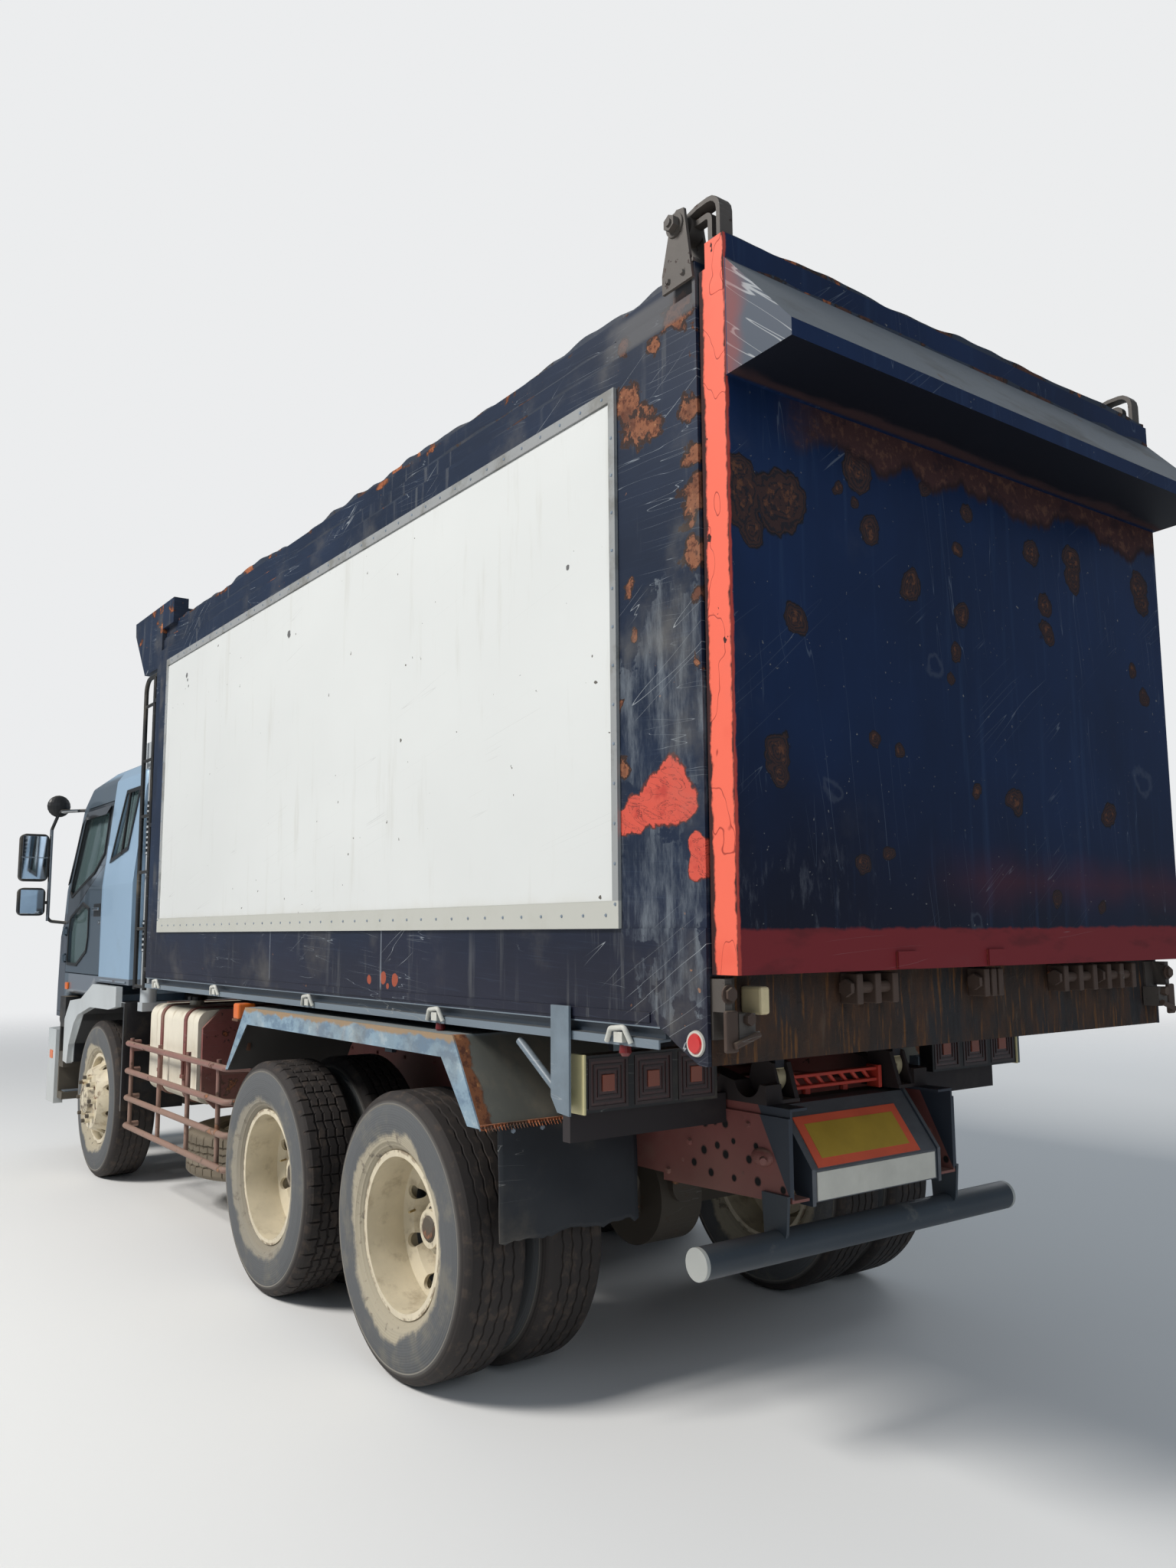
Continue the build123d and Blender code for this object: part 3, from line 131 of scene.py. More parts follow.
world = bpy.data.worlds.new("studio")
bpy.context.scene.world = world
world.use_nodes = True
tree = world.node_tree
background = tree.nodes["Background"]
background.inputs["Color"].default_value = (0.76, 0.87, 1.0, 1.0)
background.inputs["Strength"].default_value = 0.25
backdrop = tree.nodes.new("ShaderNodeBackground")
backdrop.inputs["Color"].default_value = (0.93, 0.94, 0.95, 1.0)
backdrop.inputs["Strength"].default_value = 0.9
path = tree.nodes.new("ShaderNodeLightPath")
seen = tree.nodes.new("ShaderNodeMath")
seen.operation = "MAXIMUM"
tree.links.new(path.outputs["Is Camera Ray"], seen.inputs[0])
tree.links.new(path.outputs["Is Transmission Ray"], seen.inputs[1])
blend = tree.nodes.new("ShaderNodeMixShader")
tree.links.new(seen.outputs[0], blend.inputs[0])
tree.links.new(background.outputs[0], blend.inputs[1])
tree.links.new(backdrop.outputs[0], blend.inputs[2])
tree.links.new(blend.outputs[0], tree.nodes["World Output"].inputs[0])


def soft_lamp(name, place, aim, size, watts, colour=(1, 1, 1)):
    """A square lamp that points at a place."""
    data = bpy.data.lights.new(name, "AREA")
    data.shape = "SQUARE"
    data.size = size
    data.energy = watts
    data.color = colour
    lamp = bpy.data.objects.new(name, data)
    lamp.location = place
    lamp.rotation_euler = (Vector(aim) - Vector(place)).to_track_quat("-Z", "Y").to_euler()
    bpy.context.scene.collection.objects.link(lamp)


soft_lamp("sun_side", (1.5, 13.0, 13.5), (0, 0, 1.6), 5.0, 3050, (1.0, 0.97, 0.93))
soft_lamp("rear_fill", (-14.0, 2.0, 7.0), (-2, 0, 1.5), 7.0, 300, (0.84, 0.92, 1.0))
soft_lamp("far_fill", (3.0, -14.0, 9.0), (0, 0, 1.5), 8.0, 420, (0.90, 0.95, 1.0))
print("stage ready")

# %% [markdown]
# ## A kit for finishes
# Real truck paint is never one colour: it fades, gathers dust, is scratched, and rusts along
# its edges. The `Finish` class below starts from a base colour and lays further colours over it
# through masks. A mask is a number from 0 to 1 at each point of the surface, made from noise, from
# the point's place on the truck, or from both. All patterns read Object coordinates, and
# because every object sits at the origin these are places on the truck in metres.

# %% Finish
RUST_TONES = [(58, 34, 26), (150, 86, 52), (96, 52, 34), (186, 122, 78)]  # rim, patch, shade, light
OLD_RUST_TONES = [(30, 22, 20), (74, 44, 34), (48, 30, 26), (104, 62, 42)]
ROAD_DUST = (150, 138, 118)
LIGHT_DUST = (146, 134, 114)


def srgb(r, g, b):
    """A colour as seen on a screen, from 0 to 255, as the linear colour that the shader wants."""
    linear = [c / 255 / 12.92 if c <= 10 else ((c / 255 + 0.055) / 1.055) ** 2.4 for c in (r, g, b)]
    return (*linear, 1.0)


class Finish:
    """A material that starts from one colour. Colours are given as seen on a screen."""

    def __init__(self, name, colour, rough=0.5, metal=0.0, coat=0.0, shine=0.5):
        self.material = bpy.data.materials.new(name)
        self.material.use_nodes = True
        self.tree = self.material.node_tree
        self.shader = self.tree.nodes["Principled BSDF"]
        self.shader.inputs["Metallic"].default_value = metal
        self.shader.inputs["Coat Weight"].default_value = coat
        self.shader.inputs["Specular IOR Level"].default_value = shine
        where = self.tree.nodes.new("ShaderNodeTexCoord")
        self.place = where.outputs["Object"]
        self.x, self.y, self.z = self.split(self.place)
        self.facing_x, self.facing_y, self.facing_z = self.split(where.outputs["Normal"])
        self.colour = srgb(*colour)
        self.rough = rough
        self.height = None

    def split(self, vector):
        """The three numbers of a vector, each as a socket."""
        node = self.tree.nodes.new("ShaderNodeSeparateXYZ")
        self.tree.links.new(vector, node.inputs[0])
        return node.outputs

    def feed(self, socket, value):
        """Puts a plain value in a socket, or links another socket to it."""
        if isinstance(value, bpy.types.NodeSocket):
            self.tree.links.new(value, socket)
        else:
            socket.default_value = value

    def node(self, kind, operation, values):
        """A maths or vector maths node whose inputs are sockets or plain numbers."""
        node = self.tree.nodes.new(kind)
        node.operation = operation
        for socket, value in zip(node.inputs, values):
            self.feed(socket, value)
        return node.outputs

    def math(self, operation, a, b=0.0, c=0.0):
        return self.node("ShaderNodeMath", operation, (a, b, c))[0]

    def vector(self, operation, *values):
        return self.node("ShaderNodeVectorMath", operation, values)

    def times(self, a, b):
        return self.math("MULTIPLY", a, b)

    def plus(self, a, b):
        return self.math("ADD", a, b)

    def absolute(self, value):
        return self.math("ABSOLUTE", value)

    def ripple(self, value, many):
        """A sine of value, with many radians to each unit."""
        return self.math("SINE", self.times(value, many))

    def span(self, value, limits, smooth):
        """Carries value from the first two limits to the last two."""
        node = self.tree.nodes.new("ShaderNodeMapRange")
        node.interpolation_type = "SMOOTHSTEP" if smooth else "LINEAR"
        self.feed(node.inputs["Value"], value)
        for key, limit in zip(("From Min", "From Max", "To Min", "To Max"), limits):
            node.inputs[key].default_value = limit
        return node.outputs["Result"]

    def rise(self, value, low, high):
        """0 below low, 1 above high and smooth between; turned round where low is above high."""
        return self.span(value, (low, high, 0.0, 1.0) if low < high else (high, low, 1.0, 0.0), True)

    def band(self, value, low, high, soft=0.01):
        """1 where value lies from low to high."""
        return self.times(self.rise(value, low - soft, low + soft),
                          self.rise(value, high + soft, high - soft))

    def both(self, *masks):
        """The overlap of masks."""
        result = masks[0]
        for mask in masks[1:]:
            result = self.times(result, mask)
        return result

    def either(self, *masks):
        """The union of masks."""
        result = masks[0]
        for mask in masks[1:]:
            result = self.math("MAXIMUM", result, mask)
        return result

    def opposite(self, mask):
        return self.math("SUBTRACT", 1.0, mask)

    def grown(self, stretch, shift=0.0, spin=0.0, axis=(0, 1, 0)):
        """The place on the truck, turned by spin degrees, scaled along each axis and moved."""
        vector = self.place
        if spin:
            node = self.tree.nodes.new("ShaderNodeVectorRotate")
            node.rotation_type = "AXIS_ANGLE"
            self.tree.links.new(vector, node.inputs["Vector"])
            node.inputs["Axis"].default_value = axis
            node.inputs["Angle"].default_value = math.radians(spin)
            vector = node.outputs[0]
        return self.vector("MULTIPLY_ADD", vector, stretch, (shift, shift * 0.7, shift * 1.3))[0]

    def noise(self, scale, detail=4.0, rough=0.55, stretch=(1, 1, 1), shift=0.0, spin=0.0,
              axis=(0, 1, 0), warp=0.0, output="Fac"):
        node = self.tree.nodes.new("ShaderNodeTexNoise")
        self.tree.links.new(self.grown(stretch, shift, spin, axis), node.inputs["Vector"])
        for key, value in zip(("Scale", "Detail", "Roughness", "Distortion"), (scale, detail, rough, warp)):
            node.inputs[key].default_value = value
        return node.outputs[output]

    def patches(self, low, high, *pattern, **more):
        """A mask of the places where noise rises from low to high."""
        return self.rise(self.noise(*pattern, **more), low, high)

    def wander(self, amount, *pattern, **more):
        """Noise about zero, to push an edge to and fro."""
        return self.times(self.math("SUBTRACT", self.noise(*pattern, **more), 0.5), amount)

    def nudged(self, value, amount, *pattern, **more):
        """Value with some noise added."""
        return self.plus(value, self.times(self.noise(*pattern, **more), amount))

    def lines(self, scale, stretch, thin=0.004, spin=0.0, axis=(0, 1, 0), shift=0.0, some=0.5):
        """Fine scratches: where stretched noise passes its middle value, but only in some places."""
        field = self.noise(scale, 2.0, 0.4, stretch, shift, spin, axis)
        away = self.absolute(self.math("SUBTRACT", field, 0.5))
        here = self.patches(some, some + 0.08, 2.3, 2.0, 0.5, shift=shift + 5.1)
        return self.both(self.rise(away, thin, thin * 0.35), here)

    def layer(self, mask, colour, rough=None, height=None, share=None):
        """Lays a colour, and if given a roughness and a height in metres, over what is there. Several
        masks count together, and a share from 0 to 1 makes the layer thinner."""
        if isinstance(mask, tuple):
            mask = self.both(*mask)
        if share is not None:
            mask = self.times(mask, share)
        node = self.tree.nodes.new("ShaderNodeMix")
        node.data_type = "RGBA"
        self.feed(node.inputs[0], mask)
        self.feed(node.inputs[6], self.colour)
        self.feed(node.inputs[7], srgb(*colour))
        self.colour = node.outputs[2]
        if rough is not None:
            node = self.tree.nodes.new("ShaderNodeMix")
            for number, value in ((0, mask), (2, self.rough), (3, rough)):
                self.feed(node.inputs[number], value)
            self.rough = node.outputs[0]
        if height is not None:
            self.raised(mask, height)

    def raised(self, mask, height):
        """Lifts the surface by height metres where the mask is 1, for the bump."""
        step = self.times(mask, height)
        self.height = step if self.height is None else self.plus(self.height, step)

    def varied(self, value, dark, light):
        """Makes the colour darker and lighter as value goes from 0.3 to 0.7."""
        amount = self.span(value, (0.3, 0.7, dark, light), False)
        scaled = self.tree.nodes.new("ShaderNodeVectorMath")
        scaled.operation = "SCALE"
        plain_colour = not isinstance(self.colour, bpy.types.NodeSocket)
        self.feed(scaled.inputs[0], self.colour[:3] if plain_colour else self.colour)
        self.tree.links.new(amount, scaled.inputs["Scale"])
        self.colour = scaled.outputs[0]

    def rust(self, where, scale=7.0, amount=0.5, shift=0.0, dark=False):
        """Patches of rust inside the mask where; amount from 0 to 1 says how far they spread."""
        rim_colour, patch_colour, shade, light = OLD_RUST_TONES if dark else RUST_TONES
        field = self.noise(scale, 7.0, 0.6, shift=shift + 11.0, warp=0.4)
        level = 0.74 - 0.36 * amount
        spread = self.plus(field, self.plus(self.times(where, 0.2), -0.2))
        patch = self.rise(spread, level, level + 0.025)
        fine = self.noise(scale * 6, 5.0, 0.65, shift=shift + 3.0)
        self.layer(self.rise(spread, level - 0.03, level), rim_colour, 0.8)
        self.layer(patch, patch_colour, 0.88, 0.0012)
        self.layer(self.both(patch, self.rise(fine, 0.52, 0.62)), shade, 0.9)
        self.layer(self.both(patch, self.rise(fine, 0.42, 0.34)), light, 0.9)
        self.raised(self.both(patch, fine), 0.002)

    def dust(self, amount=0.5, colour=ROAD_DUST, shift=0.0, floor_height=None):
        """Pale road dust, thicker low down and on what faces upwards."""
        field = self.noise(2.6, 6.0, 0.62, shift=shift + 21.0)
        mask = self.rise(field, 0.62 - 0.25 * amount, 0.86)
        if floor_height is not None:
            uneven = self.plus(self.z, self.times(field, 0.5))
            low = self.rise(uneven, floor_height + 0.35, floor_height - 0.1)
            mask = self.either(mask, self.times(low, 0.75))
        on_top = self.both(self.rise(self.facing_z, 0.45, 0.95), self.rise(field, 0.25, 0.55))
        mask = self.either(mask, self.times(on_top, 0.85))
        self.layer(self.times(mask, amount), colour, 0.88)

    def done(self, bump=1.0):
        """Connects colour, roughness and bump, and gives the material."""
        self.feed(self.shader.inputs["Base Color"], self.colour)
        self.feed(self.shader.inputs["Roughness"], self.rough)
        if self.height is not None:
            node = self.tree.nodes.new("ShaderNodeBump")
            node.inputs["Strength"].default_value = bump
            node.inputs["Distance"].default_value = 1.0
            self.tree.links.new(self.height, node.inputs["Height"])
            self.tree.links.new(node.outputs[0], self.shader.inputs["Normal"])
        return self.material


print("finish kit ready")

# %% [markdown]
# ### Spots at known places
# Noise can't put a rust spot where the truck has one. `reach` measures how far each point of the
# surface is from the nearest spot of a list, and `blotch` turns that into a mask with a torn edge.

# %% Finish kit, spots
FLAT = {"xz": (1, 0, 1), "yz": (0, 1, 1), "xy": (1, 1, 0)}


def reach(finish, spots, across, bend=0.0, scale=6.0, shift=0.0):
    """Distance to the nearest spot, counted in that spot's own radius, so 1 is its edge.
    Bend pushes the pattern about by that many metres, so that the spots aren't round."""
    place = finish.place
    if bend:
        swirl = finish.noise(scale, 5.0, 0.5, shift=shift + 2.0, output="Color")
        pushed = finish.vector("MULTIPLY_ADD", swirl, (bend * 4,) * 3, (-bend * 2,) * 3)[0]
        place = finish.vector("ADD", place, pushed)[0]
    flat = finish.vector("MULTIPLY", place, FLAT[across])[0]
    nearest = None
    for a, b, radius in spots:
        centre = {"xz": (a, 0, b), "yz": (0, a, b), "xy": (a, b, 0)}[across]
        away = finish.vector("DISTANCE", flat, centre)["Value"]
        share = finish.math("DIVIDE", away, radius)
        nearest = share if nearest is None else finish.math("MINIMUM", nearest, share)
    return nearest


def blotch(finish, spots, across, ragged=0.5, scale=14.0, shift=0.0, bend=0.0, edge=1.0):
    """1 inside the spots and 0 outside, with an edge that noise makes ragged."""
    wobble = finish.wander(ragged * 2, scale, 6.0, 0.65, shift=shift)
    distance = finish.plus(reach(finish, spots, across, bend, 7.0, shift), wobble)
    return finish.rise(distance, edge + 0.05, edge - 0.05)


def dress(material, *nodes):
    """Gives frame nodes a finish in place of the plain one they came with."""
    for node in nodes:
        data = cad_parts[node].data
        data.materials.clear()
        data.materials.append(material)


print("spots can lie in", list(FLAT))

# %% [markdown]
# ## The bed's dark blue paint
# The bed is sheet steel in a very dark navy. Years of loads and brushes have left fine scratches
# that run nearly level, a few long bright ones at a slant, pale scuffs low on the rear post, and
# orange-brown rust where chips let water in. On the left side some spots were touched up with
# coral-red primer. Each of these is a layer with its own mask, from the paint outwards. The lists
# of spots hold a place along the truck, a height and a radius, in metres.

# %% Bed navy
NAVY = (25, 37, 58)
PURPLE_NAVY = (29, 31, 46)
POST_SCUFFS = [(-3.45, 2.30, 0.30), (-3.36, 1.80, 0.20), (-3.48, 1.55, 0.16)]
POST_RUST = [(-3.256, 3.244, 0.07), (-3.33, 3.15, 0.085), (-3.38, 3.13, 0.06), (-3.546, 3.122, 0.055),
             (-3.565, 2.838, 0.07), (-3.55, 2.683, 0.06), (-3.265, 2.658, 0.03), (-3.501, 3.44, 0.085),
             (-3.218, 2.103, 0.045), (-3.57, 2.95, 0.045), (-3.575, 2.55, 0.035), (-3.28, 2.52, 0.022),
             (-3.40, 3.37, 0.03), (-3.21, 2.30, 0.02), (-3.23, 3.42, 0.03), (-3.57, 2.35, 0.02)]
PRIMER_PATCH = [(-3.185, 1.938, 0.028), (-3.235, 1.945, 0.042), (-3.30, 1.965, 0.06),
                (-3.37, 1.99, 0.075), (-3.45, 2.005, 0.085), (-3.50, 1.985, 0.062), (-3.548, 1.83, 0.038),
                (-3.552, 1.79, 0.040)]
PRIMER_SPOTS = [(-1.662, 1.440, 0.026), (-1.763, 1.436, 0.026), (-1.536, 1.430, 0.018),
                (-1.70, 1.41, 0.012)]


def mark_left_side(paint, shift):
    """Scuffs, rust, primer and bare spots whose places on the left wall are known."""
    left = paint.rise(paint.y, 0.9, 1.0)
    scuffs = paint.patches(0.40, 0.80, 15.0, 6.0, 0.75, (1.4, 1, 0.3))
    rubbed = blotch(paint, POST_SCUFFS, "xz", 1.6, 5.0, bend=0.08)
    paint.layer((left, rubbed, paint.times(scuffs, 0.8)), (116, 124, 132), 0.6)
    rear_edge = paint.both(left, paint.band(paint.x, -3.62, -3.55, 0.006),
                           paint.band(paint.z, 2.2, 3.4, 0.1))
    paint.rust(rear_edge, 9.0, 0.3, shift + 3.0)
    grain = paint.noise(46.0, 6.0, 0.75)
    cloud = paint.noise(11.0, 5.0, 0.6, shift=4.0)
    flaked = paint.both(left, blotch(paint, POST_RUST, "xz", 1.1, 19.0, bend=0.045, edge=0.92))
    rusted = paint.both(left, blotch(paint, POST_RUST, "xz", 1.1, 19.0, bend=0.045, edge=0.68))
    paint.layer(flaked, (50, 34, 30), 0.8)
    paint.layer(rusted, (134, 86, 62), 0.9, -0.001)
    paint.layer((rusted, paint.rise(cloud, 0.48, 0.62)), (98, 62, 48), 0.9)
    paint.layer((rusted, paint.rise(grain, 0.50, 0.60)), (84, 48, 36), 0.9)
    paint.layer((rusted, paint.rise(grain, 0.40, 0.30)), (178, 138, 102), 0.9)
    rim = paint.both(left, blotch(paint, PRIMER_PATCH, "xz", 0.5, 13.0, 1.0, 0.03, 1.08))
    patch = paint.both(left, blotch(paint, PRIMER_PATCH, "xz", 0.5, 13.0, 1.0, 0.03, 0.98))
    paint.layer(rim, (84, 40, 36), 0.7)
    wrinkle = paint.noise(7.0, 4.0, 0.6, (0.7, 0.7, 2.0), 4.0, 20.0, warp=2.6)
    paint.layer(patch, (204, 82, 66), 0.6, 0.002)
    paint.layer((patch, paint.patches(0.5, 0.7, 16.0, 5.0, 0.6, shift=8.0)), (182, 62, 52), 0.6)
    paint.layer((patch, paint.band(wrinkle, 0.475, 0.488, 0.008)), (116, 40, 36), 0.7, -0.002)
    spots = paint.both(left, blotch(paint, PRIMER_SPOTS, "xz", 0.4, 20.0))
    paint.layer(spots, (150, 74, 54), 0.7)
    bright = paint.both(left,
                        paint.either(paint.band(paint.x, -1.642, -1.634, 0.003),
                                     paint.band(paint.x, -0.456, -0.45, 0.003)),
                        paint.band(paint.z, 1.40, 1.64, 0.01))
    paint.layer(bright, (150, 158, 168), 0.5, share=0.5)
    dusty_band = paint.both(left, paint.band(paint.z, 3.415, 3.53, 0.012),
                            paint.rise(paint.x, -3.1, -3.25))
    paint.layer(dusty_band, (92, 92, 94), 0.7, share=0.75)


def navy_paint(name, side_marks=False, shift=0.0):
    """Dark blue paint, purple lower down, with scratches, chips and rust along the top."""
    paint = Finish(name, NAVY, 0.42, shine=0.3)
    low = paint.rise(paint.nudged(paint.z, 0.5, 1.7, shift=shift), 2.1, 1.7)
    paint.layer(low, PURPLE_NAVY)
    paint.varied(paint.noise(1.1, 5.0, 0.6, (1, 1, 2.5), shift), 0.78, 1.25)
    fine = paint.noise(9.0, 3.0, 0.7, (0.35, 0.35, 26), shift + 2.0, 3.0)
    paint.layer(paint.rise(fine, 0.55, 0.8), (76, 92, 114), 0.5, share=0.22)
    paint.layer(paint.lines(3.1, (0.5, 0.5, 9), 0.0035, 4.0, shift=shift), (150, 158, 166), 0.5,
                share=0.6)
    paint.layer(paint.lines(2.6, (0.4, 0.4, 5), 0.003, -28.0, shift=shift + 8.0, some=0.56),
                (176, 182, 186), 0.5, share=0.7)
    streak = paint.both(paint.patches(0.56, 0.7, 5.0, 4.0, 0.6, (5, 5, 0.35), shift + 4.0),
                        paint.patches(0.45, 0.6, 1.2, 2.0, shift=shift + 9.0))
    paint.layer(streak, (120, 122, 122), 0.6, share=0.3)
    chip = paint.patches(0.735, 0.75, 46.0, 2.0, 0.5, shift=shift + 6.0)
    paint.layer((chip, paint.patches(0.5, 0.6, 3.0, 2.0, shift=shift)), (140, 96, 66), 0.7)
    crown = paint.rise(paint.nudged(paint.z, 0.12, 3.1, 5.0, shift=shift), 3.565, 3.60)
    paint.rust(crown, 5.0, 0.42, shift + 1.0)
    if side_marks:
        mark_left_side(paint, shift)
    paint.dust(0.45, (128, 124, 114), shift)
    return paint.done(0.5)


bed_navy = navy_paint("bed_navy_paint", side_marks=True)
dress(bed_navy, "bed_sides")
dress(navy_paint("headboard_navy_paint", shift=31.0), "headboard")
print("bed navy", len(bed_navy.node_tree.nodes), "shader nodes")

# %% [markdown]
# ## The bed's floor and its rusty apron
# Inside, the load has scoured the floor to bare, rusty steel. The deep plate under the tailgate
# is brown with rust, in streaks that run down, so the noise is stretched upright there.

# %% Bed floor
steel = Finish("scoured_floor", (96, 88, 82), 0.5, 0.35)
steel.varied(steel.noise(2.2, 6.0, 0.65), 0.7, 1.2)
steel.rust(steel.rise(steel.z, 1.2, 1.3), 3.4, 0.6)
apron = steel.rise(steel.x, -3.55, -3.57)
steel.layer(apron, (52, 42, 37), 0.8)
down = steel.noise(5.0, 6.0, 0.65, (1, 1.6, 0.55), 3.0)
fine_down = steel.noise(16.0, 5.0, 0.65, (1, 1.5, 0.35), 7.0)
slate = steel.patches(0.46, 0.60, 2.4, 4.0, 0.6, shift=6.0)
steel.layer((apron, slate), (44, 43, 45), 0.75)
steel.layer((apron, steel.rise(down, 0.42, 0.68)), (78, 55, 41), 0.88)
amber_run = steel.noise(34.0, 4.0, 0.65, (1, 1.6, 0.16), 12.0)
steel.layer((apron, steel.rise(amber_run, 0.53, 0.68)), (116, 78, 44), 0.9, share=0.85)
steel.layer((apron, steel.rise(down, 0.6, 0.76)), (104, 70, 46), 0.9)
steel.layer((apron, steel.rise(fine_down, 0.5, 0.75)), (36, 31, 30), 0.8, share=0.7)
steel.layer((apron, steel.rise(fine_down, 0.42, 0.26)), (100, 86, 74), 0.85, share=0.4)
under = steel.both(steel.rise(steel.z, 1.44, 1.43), steel.rise(steel.x, -3.57, -3.55))
steel.layer(under, (40, 42, 50), 0.6)
steel.layer((under, steel.patches(0.5, 0.66, 4.0, 6.0, 0.6)), (96, 74, 60), 0.88)
boss = steel.both(steel.rise(reach(steel, [(-2.970, 1.115, 0.052)], "xz"), 1.05, 1.02),
                  steel.band(steel.absolute(steel.y), 0.286, 0.334, 0.001))
steel.layer(boss, (196, 184, 150), 0.5)
steel.layer((boss, steel.patches(0.54, 0.66, 20.0, 5.0, 0.6)), (122, 96, 72), 0.8)
steel.raised(steel.noise(24.0, 6.0, 0.65), 0.004)
dress(steel.done(0.6), "bed_floor")
print("bed floor and apron")

# %% [markdown]
# ## The tailgate
# The tailgate's outer sheet is dark navy with some thirty rust blisters, where stones
# knocked on it from inside. Each blister is a small target of rings, because paint and rust have
# flaked off in steps. The distance to the nearest blister drives both colour and bump, and a sine
# of that distance makes the rings. Here a spot is a sideways place, a height and a radius. The
# thick left edge is bright coral primer with chipped dark edges, and a red stripe runs along
# the bottom, its red painted darker than the edge as painted shade.

# %% Tailgate
GATE_BLISTERS = [(0.933, 2.843, 0.095), (0.602, 3.002, 0.062), (0.547, 2.828, 0.05),
                 (0.268, 3.022, 0.032), (0.067, 2.992, 0.036), (0.115, 2.854, 0.026),
                 (0.363, 2.696, 0.048), (0.883, 2.50, 0.045), (0.111, 2.627, 0.042),
                 (-0.366, 2.743, 0.042), (-0.366, 2.645, 0.044), (-0.298, 2.919, 0.046),
                 (-0.547, 2.946, 0.058), (-0.553, 2.87, 0.05), (-1.007, 2.924, 0.055),
                 (-1.02, 2.85, 0.045), (0.972, 2.121, 0.045), (0.972, 2.06, 0.035), (0.565, 2.18, 0.022),
                 (0.448, 2.154, 0.025), (0.08, 2.054, 0.026), (-0.129, 2.028, 0.05),
                 (-0.697, 2.019, 0.045), (0.633, 1.813, 0.034), (0.524, 1.839, 0.024),
                 (1.087, 2.81, 0.085), (1.05, 2.73, 0.05), (1.10, 2.90, 0.05), (-0.993, 2.486, 0.034),
                 (-0.92, 2.576, 0.03), (0.70, 2.93, 0.02), (0.62, 2.905, 0.022), (0.16, 2.50, 0.03),
                 (0.18, 2.42, 0.02), (-0.62, 1.70, 0.03), (-0.35, 1.72, 0.026)]
PALE_RINGS = [(0.268, 2.438, 0.045), (0.759, 2.01, 0.04), (-0.937, 2.163, 0.06), (0.10, 1.643, 0.045)]
STRIPE_TOP = 1.622

gate = Finish("gate_paint", (15, 35, 68), 0.42, shine=0.22)
gate.layer(gate.rise(gate.nudged(gate.z, 0.7, 1.3), 2.55, 1.85), (16, 20, 39))
gate.varied(gate.noise(1.5, 5.0, 0.6, (1, 1, 0.6), 5.0), 0.75, 1.25)
streaks = gate.noise(11.0, 4.0, 0.6, (1, 2.2, 0.12), 8.0)
gate.layer(gate.rise(streaks, 0.54, 0.75), (44, 66, 98), 0.5, share=0.28)
gate.layer(gate.lines(2.0, (1, 7, 0.4), 0.003, 6.0, (1, 0, 0), 3.0, 0.5), (92, 104, 122), 0.5, share=0.5)
gate.layer(gate.lines(2.2, (1, 0.3, 7), 0.003, 38.0, (1, 0, 0), 13.0, 0.54), (104, 114, 128), 0.5,
           share=0.5)
speck = gate.patches(0.74, 0.76, 70.0, 2.0, 0.5)
gate.layer(speck, (112, 112, 112), 0.6)
on_face = gate.both(gate.rise(gate.facing_x, -0.6, -0.9), gate.rise(gate.x, -3.704, -3.700))
from_spray = gate.absolute(gate.math("SUBTRACT", gate.z, 1.77))
overspray = gate.both(gate.rise(gate.nudged(from_spray, 0.25, 2.2, 3.0), 0.27, 0.05),
                      gate.rise(gate.y, 0.45, -0.1))
gate.layer((on_face, overspray), (92, 40, 44), 0.6, share=0.5)
scuff = gate.both(gate.rise(gate.y, 0.45, 0.8), gate.rise(gate.z, 1.95, 1.7),
                  gate.patches(0.52, 0.72, 12.0, 6.0, 0.7, (1, 2, 0.6)))
gate.layer((on_face, scuff), (96, 100, 110), 0.6, share=0.45)
print("tailgate sheet")

# %% [markdown]
# ### Blisters and pale rings
# One value, the distance to the nearest blister, gives the rim, the rusty middle and the rings.

# %% Tailgate blisters
blister = gate.plus(reach(gate, GATE_BLISTERS, "yz", 0.018, 9.0), gate.wander(1.1, 15.0, 4.0, 0.55))
rings = gate.ripple(blister, 24.0)
gate.layer((on_face, gate.rise(blister, 1.12, 1.0)), (24, 22, 26), 0.6)
rusted = gate.both(on_face, gate.rise(blister, 1.0, 0.94))
gate.layer(rusted, (60, 43, 42), 0.85, 0.0022)
gate.layer((rusted, gate.rise(rings, 0.1, 0.8)), (36, 32, 38), 0.7, -0.0018)
gate.layer((rusted, gate.patches(0.52, 0.62, 50.0, 4.0, 0.6), gate.rise(blister, 0.7, 0.5)), (94, 62, 48),
           0.9)
pale = gate.plus(reach(gate, PALE_RINGS, "yz", 0.03, 8.0), gate.wander(1.2, 18.0))
gate.layer((on_face, gate.band(pale, 0.60, 0.95, 0.15)), (104, 112, 124), 0.6, share=0.16)
print("blisters", len(GATE_BLISTERS), "pale rings", len(PALE_RINGS))
